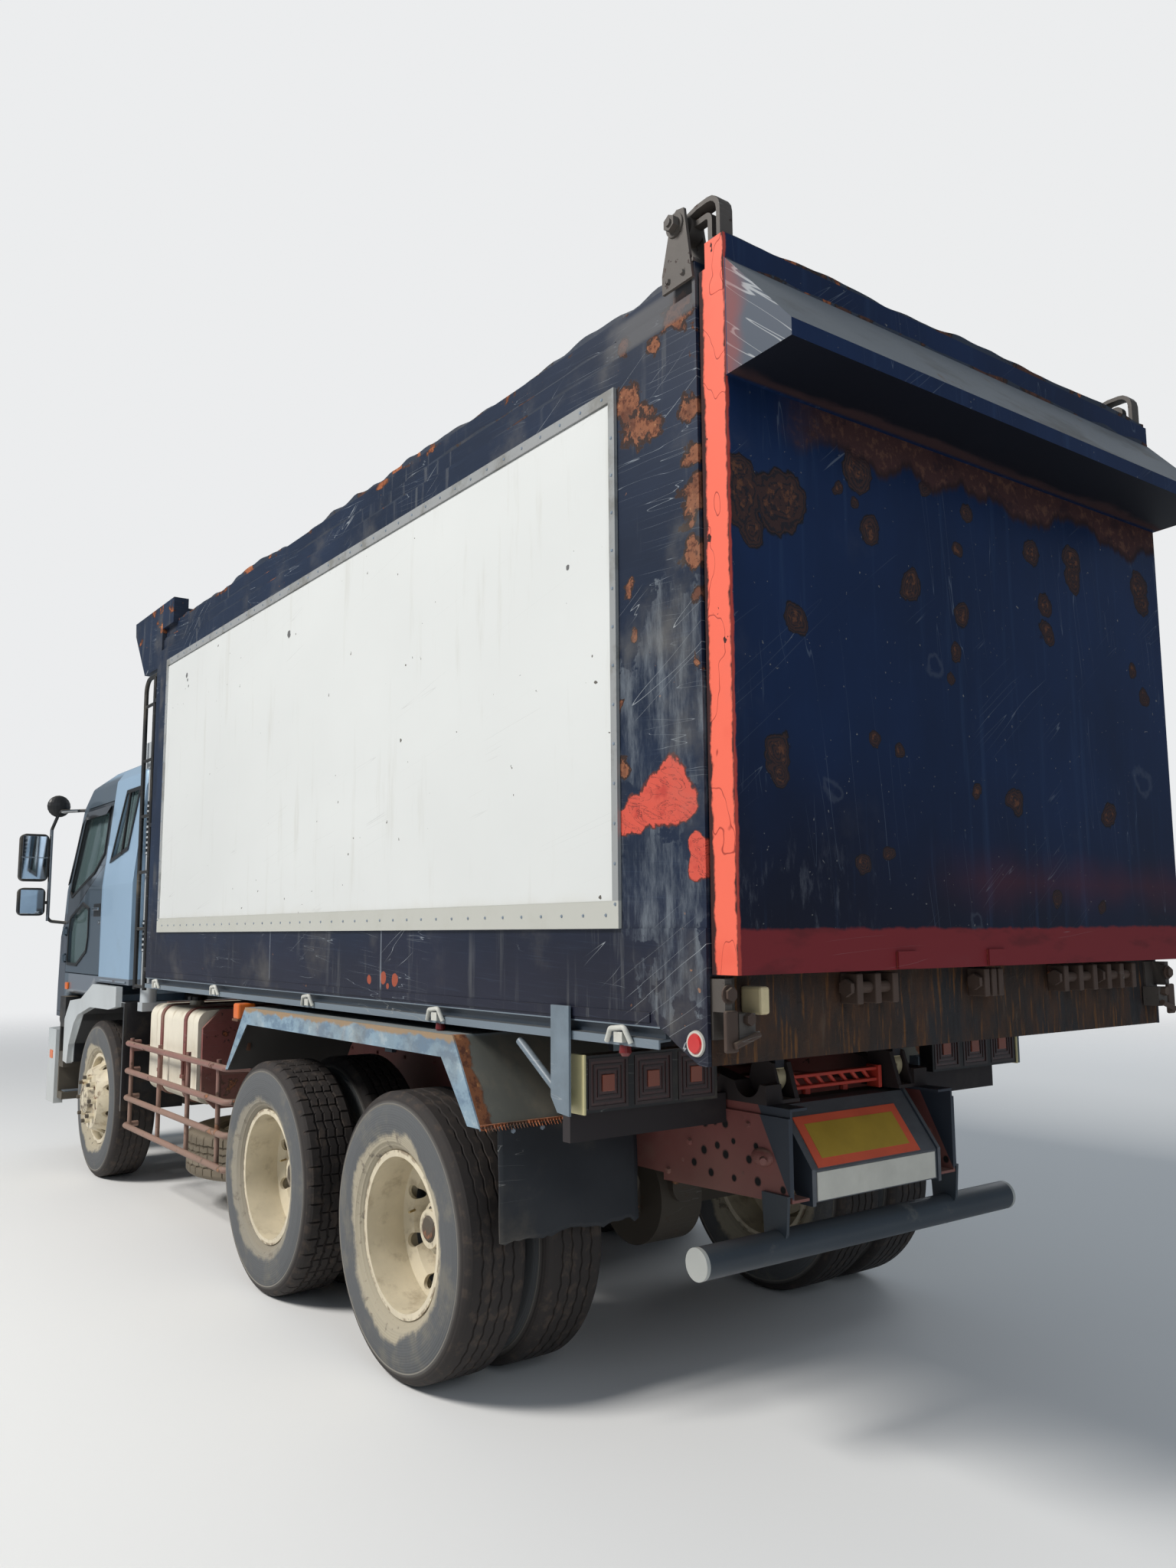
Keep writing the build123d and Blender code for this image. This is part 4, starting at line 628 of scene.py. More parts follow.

# %% [markdown]
# ### Rust below the hood, and the hood itself
# Water that drips off the hood has left a ragged brown band below it. The hood's top is dusty grey,
# its ends are scratched, and its underside is painted near-black as painted shade, with rust where it meets
# the sheet.

# %% Tailgate hood
sag = gate.wander(0.34, 3.3, 5.0, 0.62, (1, 1, 0.01), 2.0)
fade = gate.rise(gate.y, 0.98, 0.6)
band_low = gate.plus(gate.z, sag)
under_hood = gate.both(on_face, gate.rise(band_low, 3.045, 3.075), gate.rise(gate.z, 3.20, 3.17), fade)
gate.layer((on_face, gate.rise(band_low, 3.02, 3.05), gate.rise(gate.z, 3.20, 3.17), fade), (44, 28, 30),
           0.75)
gate.layer(under_hood, (66, 43, 43), 0.88, 0.003)
gate.layer((under_hood, gate.patches(0.5, 0.62, 26.0, 6.0, 0.7)), (92, 64, 54), 0.9)
gate.layer((under_hood, gate.patches(0.56, 0.62, 9.0, 4.0, 0.6, shift=7.0)), (52, 34, 38), 0.8)

hood_slope = gate.both(gate.rise(gate.x, -3.70, -3.705), gate.rise(gate.facing_z, 0.3, 0.6))
gate.layer(hood_slope, (116, 120, 124), 0.7)
gate.layer((hood_slope, gate.patches(0.48, 0.68, 2.2, 6.0, 0.65, (1, 0.5, 1))), (98, 98, 98), 0.8)
gate.layer((hood_slope, gate.patches(0.62, 0.72, 8.0, 5.0, 0.65, shift=4.0)), (112, 98, 86), 0.85)
hood_end = gate.both(gate.rise(gate.x, -3.70, -3.705), gate.rise(gate.absolute(gate.facing_y), 0.5, 0.8))
gate.layer(hood_end, (74, 82, 94), 0.5)
gate.layer((hood_end, gate.lines(3.0, (0.5, 1, 9), 0.012, 42.0, shift=2.0, some=0.35)), (150, 154, 158),
           0.5)
gate.layer((hood_end, gate.rise(gate.nudged(gate.x, 0.16, 4.0), -3.70, -3.62)), (140, 66, 60), 0.6,
           share=0.6)
# Painted shade: the hood's downward faces are near-black, with rust added where they meet the sheet.
hood_underside_shade = gate.both(gate.rise(gate.x, -3.70, -3.72), gate.rise(gate.facing_z, -0.4, -0.7))
gate.layer(hood_underside_shade, (15, 18, 28), 0.6)
joint_rust = gate.rise(gate.nudged(gate.x, 0.12, 5.0, 5.0, 0.65, (1, 0.6, 1), 6.0), -3.705, -3.665)
gate.layer((hood_underside_shade, joint_rust), (58, 40, 42), 0.88)
print("tailgate hood")

# %% [markdown]
# ### Red stripe and coral edge
# The stripe and the edge are plain masks on height and sideways place, each with a noisy limit.

# %% Tailgate stripe and edge
ragged = gate.wander(0.03, 12.0, 4.0, 0.6)
stripe = gate.both(gate.rise(gate.plus(gate.z, ragged), STRIPE_TOP + 0.006, STRIPE_TOP - 0.006),
                   gate.rise(gate.x, -3.66, -3.68))
# The stripe is real red paint; its red is made darker than the coral edge as painted shade.
gate.layer(stripe, (118, 38, 43), 0.55, 0.0004)
gate.layer((stripe, gate.patches(0.55, 0.68, 4.0, 5.0, 0.6, (1, 0.6, 2), 4.0)), (98, 34, 38), 0.6)
gate.layer((stripe, gate.lines(2.4, (1, 0.4, 8), 0.004, 4.0, (1, 0, 0), 6.0, 0.52)), (132, 88, 90), 0.6)
left_face = gate.both(gate.rise(gate.facing_y, 0.6, 0.85), gate.rise(gate.x, -3.70, -3.694))
edge = gate.wander(0.035, 16.0, 4.0, 0.65, (1, 1, 0.8), 3.0)
chipped = gate.either(gate.rise(gate.plus(gate.x, edge), -3.612, -3.603),
                      gate.rise(gate.plus(gate.x, edge), -3.686, -3.695))
flakes = gate.patches(0.70, 0.72, 22.0, 3.0, 0.5, (1, 1, 0.7), 9.0)
gate.layer(left_face, (238, 110, 88), 0.5)
wrap = gate.both(on_face, gate.rise(gate.plus(gate.y, gate.times(edge, 0.6)), 1.127, 1.133))
gate.layer(wrap, (186, 72, 62), 0.55)
outline = gate.band(gate.noise(9.0, 2.0, 0.4, (1, 1, 0.6), 2.0), 0.572, 0.578, 0.004)
gate.layer((left_face, outline), (150, 52, 44), 0.6, -0.0012)
gate.layer((left_face, gate.patches(0.5, 0.7, 2.0, 4.0, 0.6, shift=5.0)), (224, 90, 70), 0.5)
gate.layer((left_face, gate.either(chipped, flakes)), (58, 34, 34), 0.8, -0.0012)
gate.dust(0.14, (112, 112, 112), 3.0)
dress(gate.done(0.55), "tailgate")
print("tailgate", len(gate.tree.nodes), "shader nodes")

# %% [markdown]
# ## White side panels
# The white sheets are aluminium, pressed flat and riveted in a bright frame. Old dirt gathers at
# the bottom edge, and thin slanting scratches show where branches brushed past.

# %% White panel
panel = Finish("panel_white_paint", (217, 219, 217), 0.34, 0.0, 0.2)
panel.varied(panel.noise(0.7, 4.0, 0.5, (1, 1, 1.4), 2.0), 0.955, 1.03)
panel.layer(panel.patches(0.55, 0.75, 3.0, 5.0, 0.65, (3, 3, 0.35), 6.0), (186, 184, 174), 0.45,
            share=0.35)
panel.layer(panel.lines(1.1, (0.12, 0.12, 9.0), 0.0016, -11.0, some=0.5), (170, 170, 168), 0.45,
            share=0.35)
bottom = panel.rise(panel.nudged(panel.z, 0.1, 7.0, 5.0, 0.6, (1, 1, 0.3)), 1.80, 1.70)
panel.layer(bottom, (190, 186, 172), 0.6, share=0.4)
nicks = panel.patches(0.765, 0.775, 30.0, 2.0, 0.5, shift=12.0)
panel.layer(nicks, (92, 88, 82), 0.6, -0.0008)
holes = blotch(panel,
               [(-0.608, 3.061, 0.020), (-2.952, 2.794, 0.010), (0.958, 3.142, 0.016),
                (0.94, 3.11, 0.010), (0.92, 3.07, 0.008)], "xz", 0.9, 30.0)
panel.layer(holes, (96, 96, 96), 0.6, -0.003)
frame_edge = panel.either(panel.rise(panel.z, 3.262, 3.266), panel.rise(panel.z, 1.712, 1.708),
                          panel.rise(panel.x, -3.179, -3.183), panel.rise(panel.x, 1.314, 1.318))
panel.layer(frame_edge, (150, 152, 152), 0.38)
panel.layer((frame_edge, panel.patches(0.5, 0.66, 5.0, 5.0, 0.65, shift=3.0)), (124, 124, 120), 0.5)
low_frame = panel.rise(panel.z, 1.712, 1.708)
panel.layer(low_frame, (192, 192, 183), 0.5, share=0.85)
panel.raised(panel.noise(1.4, 3.0, 0.5, shift=1.0), 0.004)
dress(panel.done(0.5), "side_panels")
print("white panel")

# %% [markdown]
# ## Steel parts that share a kind of paint
# Rails, fenders, guards and frame parts are plain painted steel of several colours. One helper
# makes them all: a base colour that wanders a little, worn edges, rust in patches and road dust
# that grows thicker towards the ground. Only the numbers differ. Parts with a mark of their own,
# such as the rail's bright lips, start from a `Finish` and add it as one more layer.

# %% Painted steel
def worn_paint(name, colour, rough=0.5, rust=0.25, dust=0.5, shift=0.0, metal=0.0, dust_colour=None,
               low=0.9, flakes=None, coat=0.0):
    """Painted steel or plastic with worn spots, rust in patches and road dust."""
    paint = Finish(name, colour, rough, metal, coat)
    paint.varied(paint.noise(1.9, 5.0, 0.6, shift=shift), 0.82, 1.16)
    paint.varied(paint.noise(24.0, 3.0, 0.6, shift=shift + 3.0), 0.94, 1.06)
    paint.layer(paint.lines(4.0, (0.6, 0.6, 6), 0.004, 6.0, shift=shift), (168, 168, 164), 0.5, share=0.4)
    if flakes:
        chips = paint.patches(0.66, 0.68, 30.0, 3.0, 0.6, shift=shift + 15.0)
        paint.layer(chips, flakes, 0.8, -0.0006)
    if rust:
        paint.rust(paint.patches(0.35, 0.6, 0.9, 3.0, 0.5, shift=shift + 5.0), 6.5, rust, shift)
    if dust:
        paint.dust(dust, dust_colour or LIGHT_DUST, shift, low)
    paint.raised(paint.noise(60.0, 3.0, 0.6, shift=shift), 0.0006)
    return paint.done(0.6)


maroon = worn_paint("chassis_maroon", (124, 70, 66), 0.6, 0.25, 0.5, 1.0, flakes=(62, 44, 44))
dress(maroon, "tank_mounts", "hoist_barrels")

cradle = Finish("cradle_maroon", (112, 66, 62), 0.6)
cradle.varied(cradle.noise(1.9, 5.0, 0.6), 0.82, 1.16)
# Painted shade: the subframe's rear end, under the bed's tail, is painted near-black.
cradle.layer(cradle.rise(cradle.x, -2.60, -2.85), (44, 36, 36), 0.7)
cradle.rust(cradle.patches(0.4, 0.6, 0.9, 3.0, 0.5), 6.5, 0.25, 5.0, dark=True)
cradle.dust(0.35, (128, 116, 100), 1.0, 0.9)
dress(cradle.done(0.6), "subframe")

dark_steel = worn_paint("greasy_steel", (48, 45, 43), 0.6, 0.35, 0.6, 2.0, dust_colour=(112, 102, 88))
dress(dark_steel, "front_axle", "rear_axles", "suspension", "driveline", "air_tanks", "silencer",
      "knuckle_left", "knuckle_right")
print("chassis paint")

# %% [markdown]
# ### Rails, duct, flaps and bars
# The rail's two lips carry a painted highlight. The duct's openings between their ribs are painted
# dark as painted shade, and the underrun bar has pale plugs in its ends.

# %% Rails, duct and bars
rail_paint = Finish("rail_blue_grey_paint", (58, 68, 79), 0.4)
rail_paint.varied(rail_paint.noise(1.9, 5.0, 0.6, shift=3.0), 0.82, 1.16)
# Painted highlight: the two protruding lips are made lighter blue-grey where light catches them.
lips = rail_paint.either(rail_paint.rise(rail_paint.z, 1.3165, 1.3155),
                         rail_paint.rise(rail_paint.z, 1.3465, 1.3475))
rail_paint.layer(lips, (112, 124, 134), 0.4)
rail_paint.layer(rail_paint.lines(4.0, (0.6, 0.6, 6), 0.004, 6.0), (150, 152, 150), 0.5)
rail_paint.rust(rail_paint.patches(0.4, 0.6, 0.9, 3.0, 0.5, shift=8.0), 6.5, 0.12, 3.0)
rail_paint.dust(0.3, (136, 130, 118), 3.0, 0.3)
dress(rail_paint.done(0.5), "side_rails")

galvanised = worn_paint("weathered_grey", (128, 140, 152), 0.42, 0.12, 0.35, 4.0, low=0.3)
duct = Finish("duct_silver", (196, 202, 206), 0.36, 0.2)
duct.varied(duct.noise(3.0, 5.0, 0.6), 0.85, 1.06)
ribs = duct.either(duct.band(duct.z, 1.505, 1.705, 0.003), duct.band(duct.z, 2.125, 2.475, 0.003))
# Painted shade: the recessed openings between the ribs, inside the duct's outer radius, are made
# near-black.
duct.layer((ribs, duct.rise(reach(duct, [(1.850, 1.050, 0.054)], "xy"), 0.975, 0.955)), (22, 23, 26), 0.7)
duct.dust(0.3, LIGHT_DUST, 4.0, 0.9)
dress(duct.done(0.4), "air_duct")

plastic_dark = worn_paint("dark_plastic", (30, 31, 33), 0.5, 0.0, 0.45, 5.0)
dress(plastic_dark, "cab_steps", "battery_box", "mirrors", "ladder", "cab_interior", "lamp_boxes")

rubber = worn_paint("flap_rubber", (32, 36, 42), 0.6, 0.0, 0.4, 6.0, low=0.3)
dress(rubber, "mudflaps")

guard_tube = worn_paint("guard_tube_paint", (136, 98, 90), 0.55, 0.45, 0.5, 7.0, flakes=(92, 58, 48))
dress(guard_tube, "side_guards")

bar_paint = Finish("underrun_blue_grey", (50, 58, 66), 0.42)
bar_paint.varied(bar_paint.noise(2.2, 5.0, 0.6), 0.82, 1.16)
bar_paint.layer(bar_paint.patches(0.6, 0.7, 7.0, 6.0, 0.65), (84, 86, 86), 0.7)
bar_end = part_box("underrun_bar")[1][1] - 0.014
bar_paint.layer(bar_paint.rise(bar_paint.absolute(bar_paint.y), bar_end - 0.001, bar_end + 0.001),
                (168, 170, 166), 0.5)
bar_paint.dust(0.2, (110, 106, 98), 3.0)
dress(bar_paint.done(0.5), "underrun_bar")

bright_rod = worn_paint("polished_rod", (188, 188, 186), 0.22, 0.0, 0.12, 9.0, metal=1.0)
dress(bright_rod, "hoist_rods")

hinge_grey = worn_paint("hinge_grey", (78, 72, 67), 0.6, 0.28, 0.2, 10.0, flakes=(56, 44, 40))
dress(hinge_grey, "gate_arms", "gate_fittings")

cream_paint = worn_paint("worn_cream", (202, 186, 146), 0.45, 0.15, 0.3, 11.0)
dress(worn_paint("rope_hook_white", (198, 198, 190), 0.45, 0.12, 0.3, 13.0), "side_markers")
print("rails, duct and bars dressed")

# %% [markdown]
# ### Frame rails and lamp stays
# The frame's tail is full of drilled holes. Each is a near-black spot of painted shade with a rusty rim,
# sunk by the bump.
# A dark patch of painted shade, cut at a slant, stands for the frame's slanting end.

# %% Frame rails and lamp stays
FRAME_HOLES = [(-2.762, 0.945, 0.013), (-2.814, 0.954, 0.010), (-2.866, 0.954, 0.013),
               (-2.754, 0.850, 0.013), (-2.824, 0.875, 0.011), (-2.866, 0.850, 0.013),
               (-2.981, 0.850, 0.012), (-2.789, 0.778, 0.012), (-2.906, 0.777, 0.010),
               (-3.021, 0.784, 0.013), (-3.138, 0.775, 0.011), (-3.016, 0.898, 0.010),
               (-2.906, 0.900, 0.009), (-2.700, 0.800, 0.012)]
rail_maroon = Finish("frame_rail_maroon", (124, 70, 66), 0.6)
rail_maroon.varied(rail_maroon.noise(1.9, 5.0, 0.6), 0.8, 1.15)
rail_maroon.rust(rail_maroon.patches(0.4, 0.6, 0.9, 3.0, 0.5, shift=5.0), 6.5, 0.3, 3.0, dark=True)
rail_maroon.dust(0.45, (138, 122, 106), 2.0, 0.9)
drilled = reach(rail_maroon, FRAME_HOLES, "xz")
slanted = rail_maroon.math("SUBTRACT", rail_maroon.x, rail_maroon.times(rail_maroon.z, 0.52))
# Painted shade: the rail is dark blue-grey behind a slanting line, standing for the frame's slanting end.
rail_maroon.layer(rail_maroon.rise(slanted, -3.5565, -3.5610), (44, 51, 62), 0.5)
rail_maroon.layer(rail_maroon.rise(drilled, 1.45, 1.15), (84, 52, 48), 0.7)
# The near-black centres of the holes are painted shade; the rim around them is rust.
rail_maroon.layer(rail_maroon.rise(drilled, 1.06, 0.96), (10, 9, 9), 0.9, -0.004)
dress(rail_maroon.done(0.6), "frame_rails")

stay = Finish("lamp_stay_paint", (108, 121, 131), 0.42)
stay.varied(stay.noise(7.0, 6.0, 0.65), 0.78, 1.16)
stay.layer(stay.lines(3.0, (0.5, 0.5, 8), 0.004, 8.0), (170, 174, 176), 0.5, share=0.5)
# Painted shade: the stay's bracket and arm below the lamp boxes are painted dark, as the shade under the
# lamps.
stay_painted_shade = stay.both(stay.rise(stay.x, -2.880, -2.874), stay.rise(stay.z, 1.082, 1.078))
painted_shade_under_lamps = stay.both(stay.rise(stay.z, 1.087, 1.085), stay.rise(stay.absolute(stay.y), 1.11, 1.10))
stay.layer(stay.either(stay_painted_shade, painted_shade_under_lamps), (40, 34, 36), 0.7)
stay.dust(0.3, (120, 112, 100), 3.0)
dress(stay.done(0.4), "lamp_stays")
print("frame rails and lamp stays dressed")

# %% [markdown]
# ## Rear fenders, tank and reflector plate
# The fenders are blue-grey sheet with rusty edges and a thick coat of dust on top. The tank is
# beige with rain marks. The sloping plate at the tail is weathered grey metal.

# %% Fenders and tank
fender = Finish("fender_blue_paint", (130, 154, 170), 0.38)
fender.varied(fender.noise(2.0, 5.0, 0.6), 0.8, 1.18)
fender.layer(fender.patches(0.6, 0.72, 5.0, 5.0, 0.6, (2, 2, 0.6), 3.0), (150, 160, 168), 0.45)
out_y = fender.absolute(fender.y)
wavy = fender.wander(0.08, 9.0, 5.0, 0.6, shift=2.0)
flange = fender.rise(out_y, 1.196, 1.199)
brushed = fender.noise(7.0, 6.0, 0.7, (1, 1, 1.6), 6.0)
fender.layer((flange, fender.rise(brushed, 0.46, 0.60)), (82, 106, 130), 0.42, share=0.7)
fender.layer((flange, fender.rise(brushed, 0.44, 0.34)), (172, 186, 192), 0.5, share=0.6)
fender.layer((flange, fender.rise(fender.plus(fender.z, wavy), 1.236, 1.250)), (150, 126, 98), 0.8)
fender.dust(0.8, (128, 122, 108), 4.0)
slope = fender.both(fender.rise(fender.x, -2.305, -2.325), fender.rise(fender.facing_x, -0.5, -0.7),
                    fender.opposite(flange))
fender.layer(slope, (104, 105, 98), 0.8)
fender.layer((slope, fender.patches(0.48, 0.66, 4.0, 6.0, 0.65, shift=5.0)), (122, 118, 106), 0.85)
rusty_edge = fender.both(fender.rise(fender.plus(out_y, fender.times(wavy, 1.4)), 1.150, 1.164),
                         fender.rise(fender.x, -2.27, -2.30), fender.rise(out_y, 1.203, 1.200))
fender.layer(rusty_edge, (132, 82, 52), 0.88, 0.002)
fender.layer((rusty_edge, fender.patches(0.5, 0.62, 26.0, 5.0, 0.65)), (92, 54, 38), 0.9)
fender.layer((rusty_edge, fender.patches(0.58, 0.66, 18.0, 5.0, 0.65, shift=9.0)), (176, 120, 74), 0.9)
inner_face = fender.rise(fender.facing_z, -0.3, -0.6)
fender.layer(inner_face, (58, 56, 54), 0.85)
fender.raised(fender.noise(3.0, 4.0, 0.6), 0.006)
dress(fender.done(0.5), "rear_fenders")

tank_paint = Finish("tank_beige", (231, 224, 206), 0.42)
tank_paint.varied(tank_paint.noise(2.4, 5.0, 0.6), 0.86, 1.08)
drip = tank_paint.noise(6.0, 4.0, 0.6, (3, 3, 0.3), 2.0)
tank_paint.layer(tank_paint.rise(drip, 0.55, 0.75), (164, 144, 112), 0.6, share=0.6)
tank_paint.dust(0.55, (168, 154, 128), 2.0, 0.75)
dress(tank_paint.done(0.4), "fuel_tank")

plate_metal = Finish("tail_plate_metal", (94, 97, 102), 0.5, 0.3)
plate_metal.varied(plate_metal.noise(5.0, 5.0, 0.7, (1, 1, 3)), 0.8, 1.15)
plate_metal.layer(plate_metal.rise(plate_metal.absolute(plate_metal.facing_y), 0.6, 0.8), (58, 66, 76),
                  0.5)
plate_metal.dust(0.3, (120, 112, 100), 5.0)
dress(plate_metal.done(0.4), "reflector_box")
print("fenders, tank and tail plate dressed")

# %% [markdown]
# ## Tyres and wheels
# Tyre sidewalls go grey-brown with dust, but the tread stays darker where it meets the road. The
# shader needs each wheel's own centre, so one helper is called per axle with its place. The
# steel wheels are cream, dirty near the flange and rusty round the nuts.

# %% Tyre rubber
WHEEL_HEIGHT = 0.515
AXLES = {"rear": -1.92, "mid": -0.61, "front": 2.61}


def from_axle(finish, axle_x):
    """Distance of a point from the wheel's axle line."""
    away_x = finish.math("SUBTRACT", finish.x, axle_x)
    away_z = finish.math("SUBTRACT", finish.z, WHEEL_HEIGHT)
    return finish.math("SQRT", finish.plus(finish.times(away_x, away_x), finish.times(away_z, away_z)))


def tyre_rubber(name, axle_x, shift, pale_ring):
    """Rubber with rings of dust round the axle, and shallow ridges 9 mm apart."""
    tyre = Finish(name, (84, 80, 76), 0.8)
    far = from_axle(tyre, axle_x)
    tyre.varied(tyre.noise(7.0, 4.0, 0.6, shift=shift), 0.85, 1.15)
    tyre.layer(tyre.band(far, 0.325, 0.470, 0.01), (88, 90, 92), 0.85)
    tyre.layer((tyre.band(far, 0.30, 0.47, 0.02),
                tyre.patches(0.52, 0.70, 5.0, 5.0, 0.65, shift=shift + 2.0)), (108, 106, 100), 0.9)
    tyre.layer(tyre.rise(far, 0.472, 0.486), (43, 38, 36), 0.8)
    tyre.layer((tyre.rise(far, 0.486, 0.498), tyre.patches(0.5, 0.66, 20.0, 4.0, 0.6, shift=shift + 5.0)),
               (66, 57, 51), 0.9)
    tyre.layer(tyre.band(far, 0.466, 0.471, 0.002), (126, 122, 114), 0.8)
    wander = tyre.wander(0.16, 4.0, 6.0, 0.65, shift=shift + 9.0)
    dusty = tyre.both(tyre.rise(tyre.plus(far, wander), 0.372, 0.345), tyre.rise(far, 0.296, 0.300))
    tyre.layer(tyre.times(dusty, pale_ring), (170, 161, 141), 0.88)
    tyre.layer((dusty, tyre.patches(0.56, 0.68, 24.0, 5.0, 0.65, shift=shift)), (120, 112, 100), 0.88)
    tyre.raised(tyre.ripple(far, 700.0), 0.0003)
    tyre.raised(tyre.noise(40.0, 4.0, 0.6, shift=shift), 0.0008)
    return tyre.done(0.8)

# %% [markdown]
# ### Wheel paint
# Cream paint, with grime, rust and a worn flange in rings round the axle.

# %% Wheel paint
def wheel_paint(name, axle_x, shift):
    """Cream wheel paint for the wheels on one axle."""
    wheel = Finish(name, (212, 201, 176), 0.42)
    far = from_axle(wheel, axle_x)
    wheel.varied(wheel.noise(6.0, 5.0, 0.6, shift=shift), 0.85, 1.08)
    grime = wheel.patches(0.5, 0.7, 9.0, 5.0, 0.65, shift=shift + 2.0)
    wheel.layer((grime, wheel.band(far, 0.20, 0.285, 0.02)), (150, 134, 108), 0.75, share=0.7)
    wheel.layer((wheel.patches(0.56, 0.64, 22.0, 4.0, 0.6, shift=shift),
                 wheel.band(far, 0.10, 0.20, 0.02)), (112, 80, 56), 0.85)
    wheel.layer((wheel.rise(far, 0.108, 0.1),
                 wheel.patches(0.45, 0.62, 12.0, 4.0, 0.6, shift=shift + 7.0)), (98, 88, 78), 0.8)
    wheel.layer((wheel.rise(far, 0.286, 0.293),
                 wheel.patches(0.46, 0.6, 16.0, 4.0, 0.6, shift=shift + 4.0)), (146, 132, 112), 0.8)
    wheel.raised(wheel.noise(50.0, 3.0, 0.6, shift=shift), 0.0005)
    return wheel.done(0.5)


tyre_finish = {}
wheel_finish = {}
for i, (axle, x) in enumerate(AXLES.items()):
    pale_ring = 0.55 if axle == "mid" else 0.95
    tyre_finish[axle] = tyre_rubber(axle + "_tyre_rubber", x, i * 3.0, pale_ring)
    wheel_finish[axle] = wheel_paint(axle + "_wheel_cream", x, i * 3.0)
for axle in ("mid", "rear"):
    dress(tyre_finish[axle], f"{axle}_left_tyres", f"{axle}_right_tyres")
    dress(wheel_finish[axle], f"{axle}_left_rims", f"{axle}_right_rims")
dress(tyre_finish["front"], "front_left_tyre", "front_right_tyre")
dress(wheel_finish["front"], "front_left_rim", "front_right_rim")
print("tyres and wheels dressed")

# %% [markdown]
# ## Cab paint and glass
# The cab is a pale metallic blue at the back and a darker grey-blue from the door forward. The
# doors are dark grey in two shades that meet at a thin seam, which slants down to the front. The
# clear coat gives the soft reflections of car paint. The front below the windscreen is grey, with
# dark seams.

# %% Cab
def cab_paint(name, door=False):
    """The cab's two blues, or with door, the doors' two greys."""
    paint = Finish(name, (166, 196, 222), 0.34, 0.3, 0.6)
    paint.varied(paint.noise(0.9, 3.0, 0.5), 0.94, 1.06)
    side_on = paint.rise(paint.absolute(paint.y), 1.02, 1.06)
    slant = paint.plus(paint.z, paint.times(paint.math("SUBTRACT", paint.x, 3.0), 0.42))
    ahead = paint.both(side_on, paint.rise(paint.x, 2.69, 2.70))
    if door:
        paint.layer(ahead, (70, 84, 96), 0.36)
        paint.layer((ahead, paint.rise(slant, 1.975, 1.985)), (56, 63, 70), 0.36)
        paint.layer((ahead, paint.band(slant, 1.972, 1.984, 0.002)), (28, 32, 36), 0.5)
    else:
        paint.layer(ahead, (88, 102, 114), 0.36)
        fascia = paint.both(paint.rise(paint.x, 3.66, 3.67), paint.rise(paint.z, 1.78, 1.77))
        paint.layer(fascia, (72, 78, 88), 0.36)
        arch = paint.both(side_on, paint.rise(paint.z, 1.33, 1.325), paint.rise(paint.x, 3.56, 3.55))
        paint.layer(arch, (120, 128, 138), 0.4)
        level = paint.either(paint.band(paint.z, 1.672, 1.677, 0.001),
                             paint.band(paint.z, 1.036, 1.041, 0.001))
        upright_seam = paint.both(paint.band(paint.absolute(paint.y), 0.905, 0.909, 0.001),
                                  paint.rise(paint.z, 1.676, 1.674))
        paint.layer((fascia, paint.either(level, upright_seam)), (18, 20, 23), 0.6, -0.001)
    paint.dust(0.3, (150, 146, 136), 2.0, 1.0)
    return paint.done(0.3)


dress(cab_paint("cab_blue_paint"), "cab_shell")
dress(cab_paint("door_paint", door=True), "door_left", "door_right")
print("cab paint")

# %% [markdown]
# ### Bumper and front arches
# The silver bumper has seams and a dark intake, whose slats are a sine of the height. The arches
# are the same silver outside, and black with dirt inside.

# %% Bumper and arches
bumper = Finish("bumper_silver", (202, 207, 208), 0.35, 0.15, 0.3)
bumper.varied(bumper.noise(1.9, 5.0, 0.6, shift=12.0), 0.92, 1.05)
across = bumper.absolute(bumper.y)
intake = bumper.both(bumper.rise(bumper.x, 3.930, 3.940), bumper.band(bumper.z, 0.425, 0.560, 0.002),
                     bumper.rise(across, 0.602, 0.598))
seams = bumper.both(bumper.rise(bumper.x, 3.86, 3.88),
                    bumper.either(bumper.band(across, 0.640, 0.644, 0.001),
                                  bumper.band(bumper.z, 0.590, 0.594, 0.001)))
bumper.dust(0.25, LIGHT_DUST, 12.0, 0.75)
bumper.layer(seams, (40, 40, 42), 0.6, -0.002)
bumper.layer(intake, (24, 25, 27), 0.6, -0.006)
slats = bumper.rise(bumper.ripple(bumper.z, 210.0), 0.2, 0.6)
bumper.layer((intake, slats), (50, 52, 55), 0.5, 0.004)
dress(bumper.done(0.5), "front_bumper")

arch = Finish("arch_silver", (202, 207, 208), 0.35, 0.15, 0.3)
arch.varied(arch.noise(1.9, 5.0, 0.6, shift=12.0), 0.9, 1.08)
arch.dust(0.25, LIGHT_DUST, 12.0, 0.9)
wheel_house = arch.either(arch.rise(arch.absolute(arch.y), 1.1535, 1.1525),
                          arch.both(arch.rise(arch.x, 2.0535, 2.0525), arch.rise(arch.z, 1.1785, 1.1775)))
arch.layer(wheel_house, (27, 28, 31), 0.6)
arch.layer((wheel_house, arch.patches(0.5, 0.7, 5.0, 6.0, 0.65)), (62, 56, 50), 0.85)
dress(arch.done(0.4), "front_fenders")
print("bumper and arches")

# %% [markdown]
# ### Glass and lamp lenses
# The glass is thin, so a transparent shader mixed with gloss works better than true refraction.
# The red lenses have a fine grid pressed in: two sines, one across and one up.

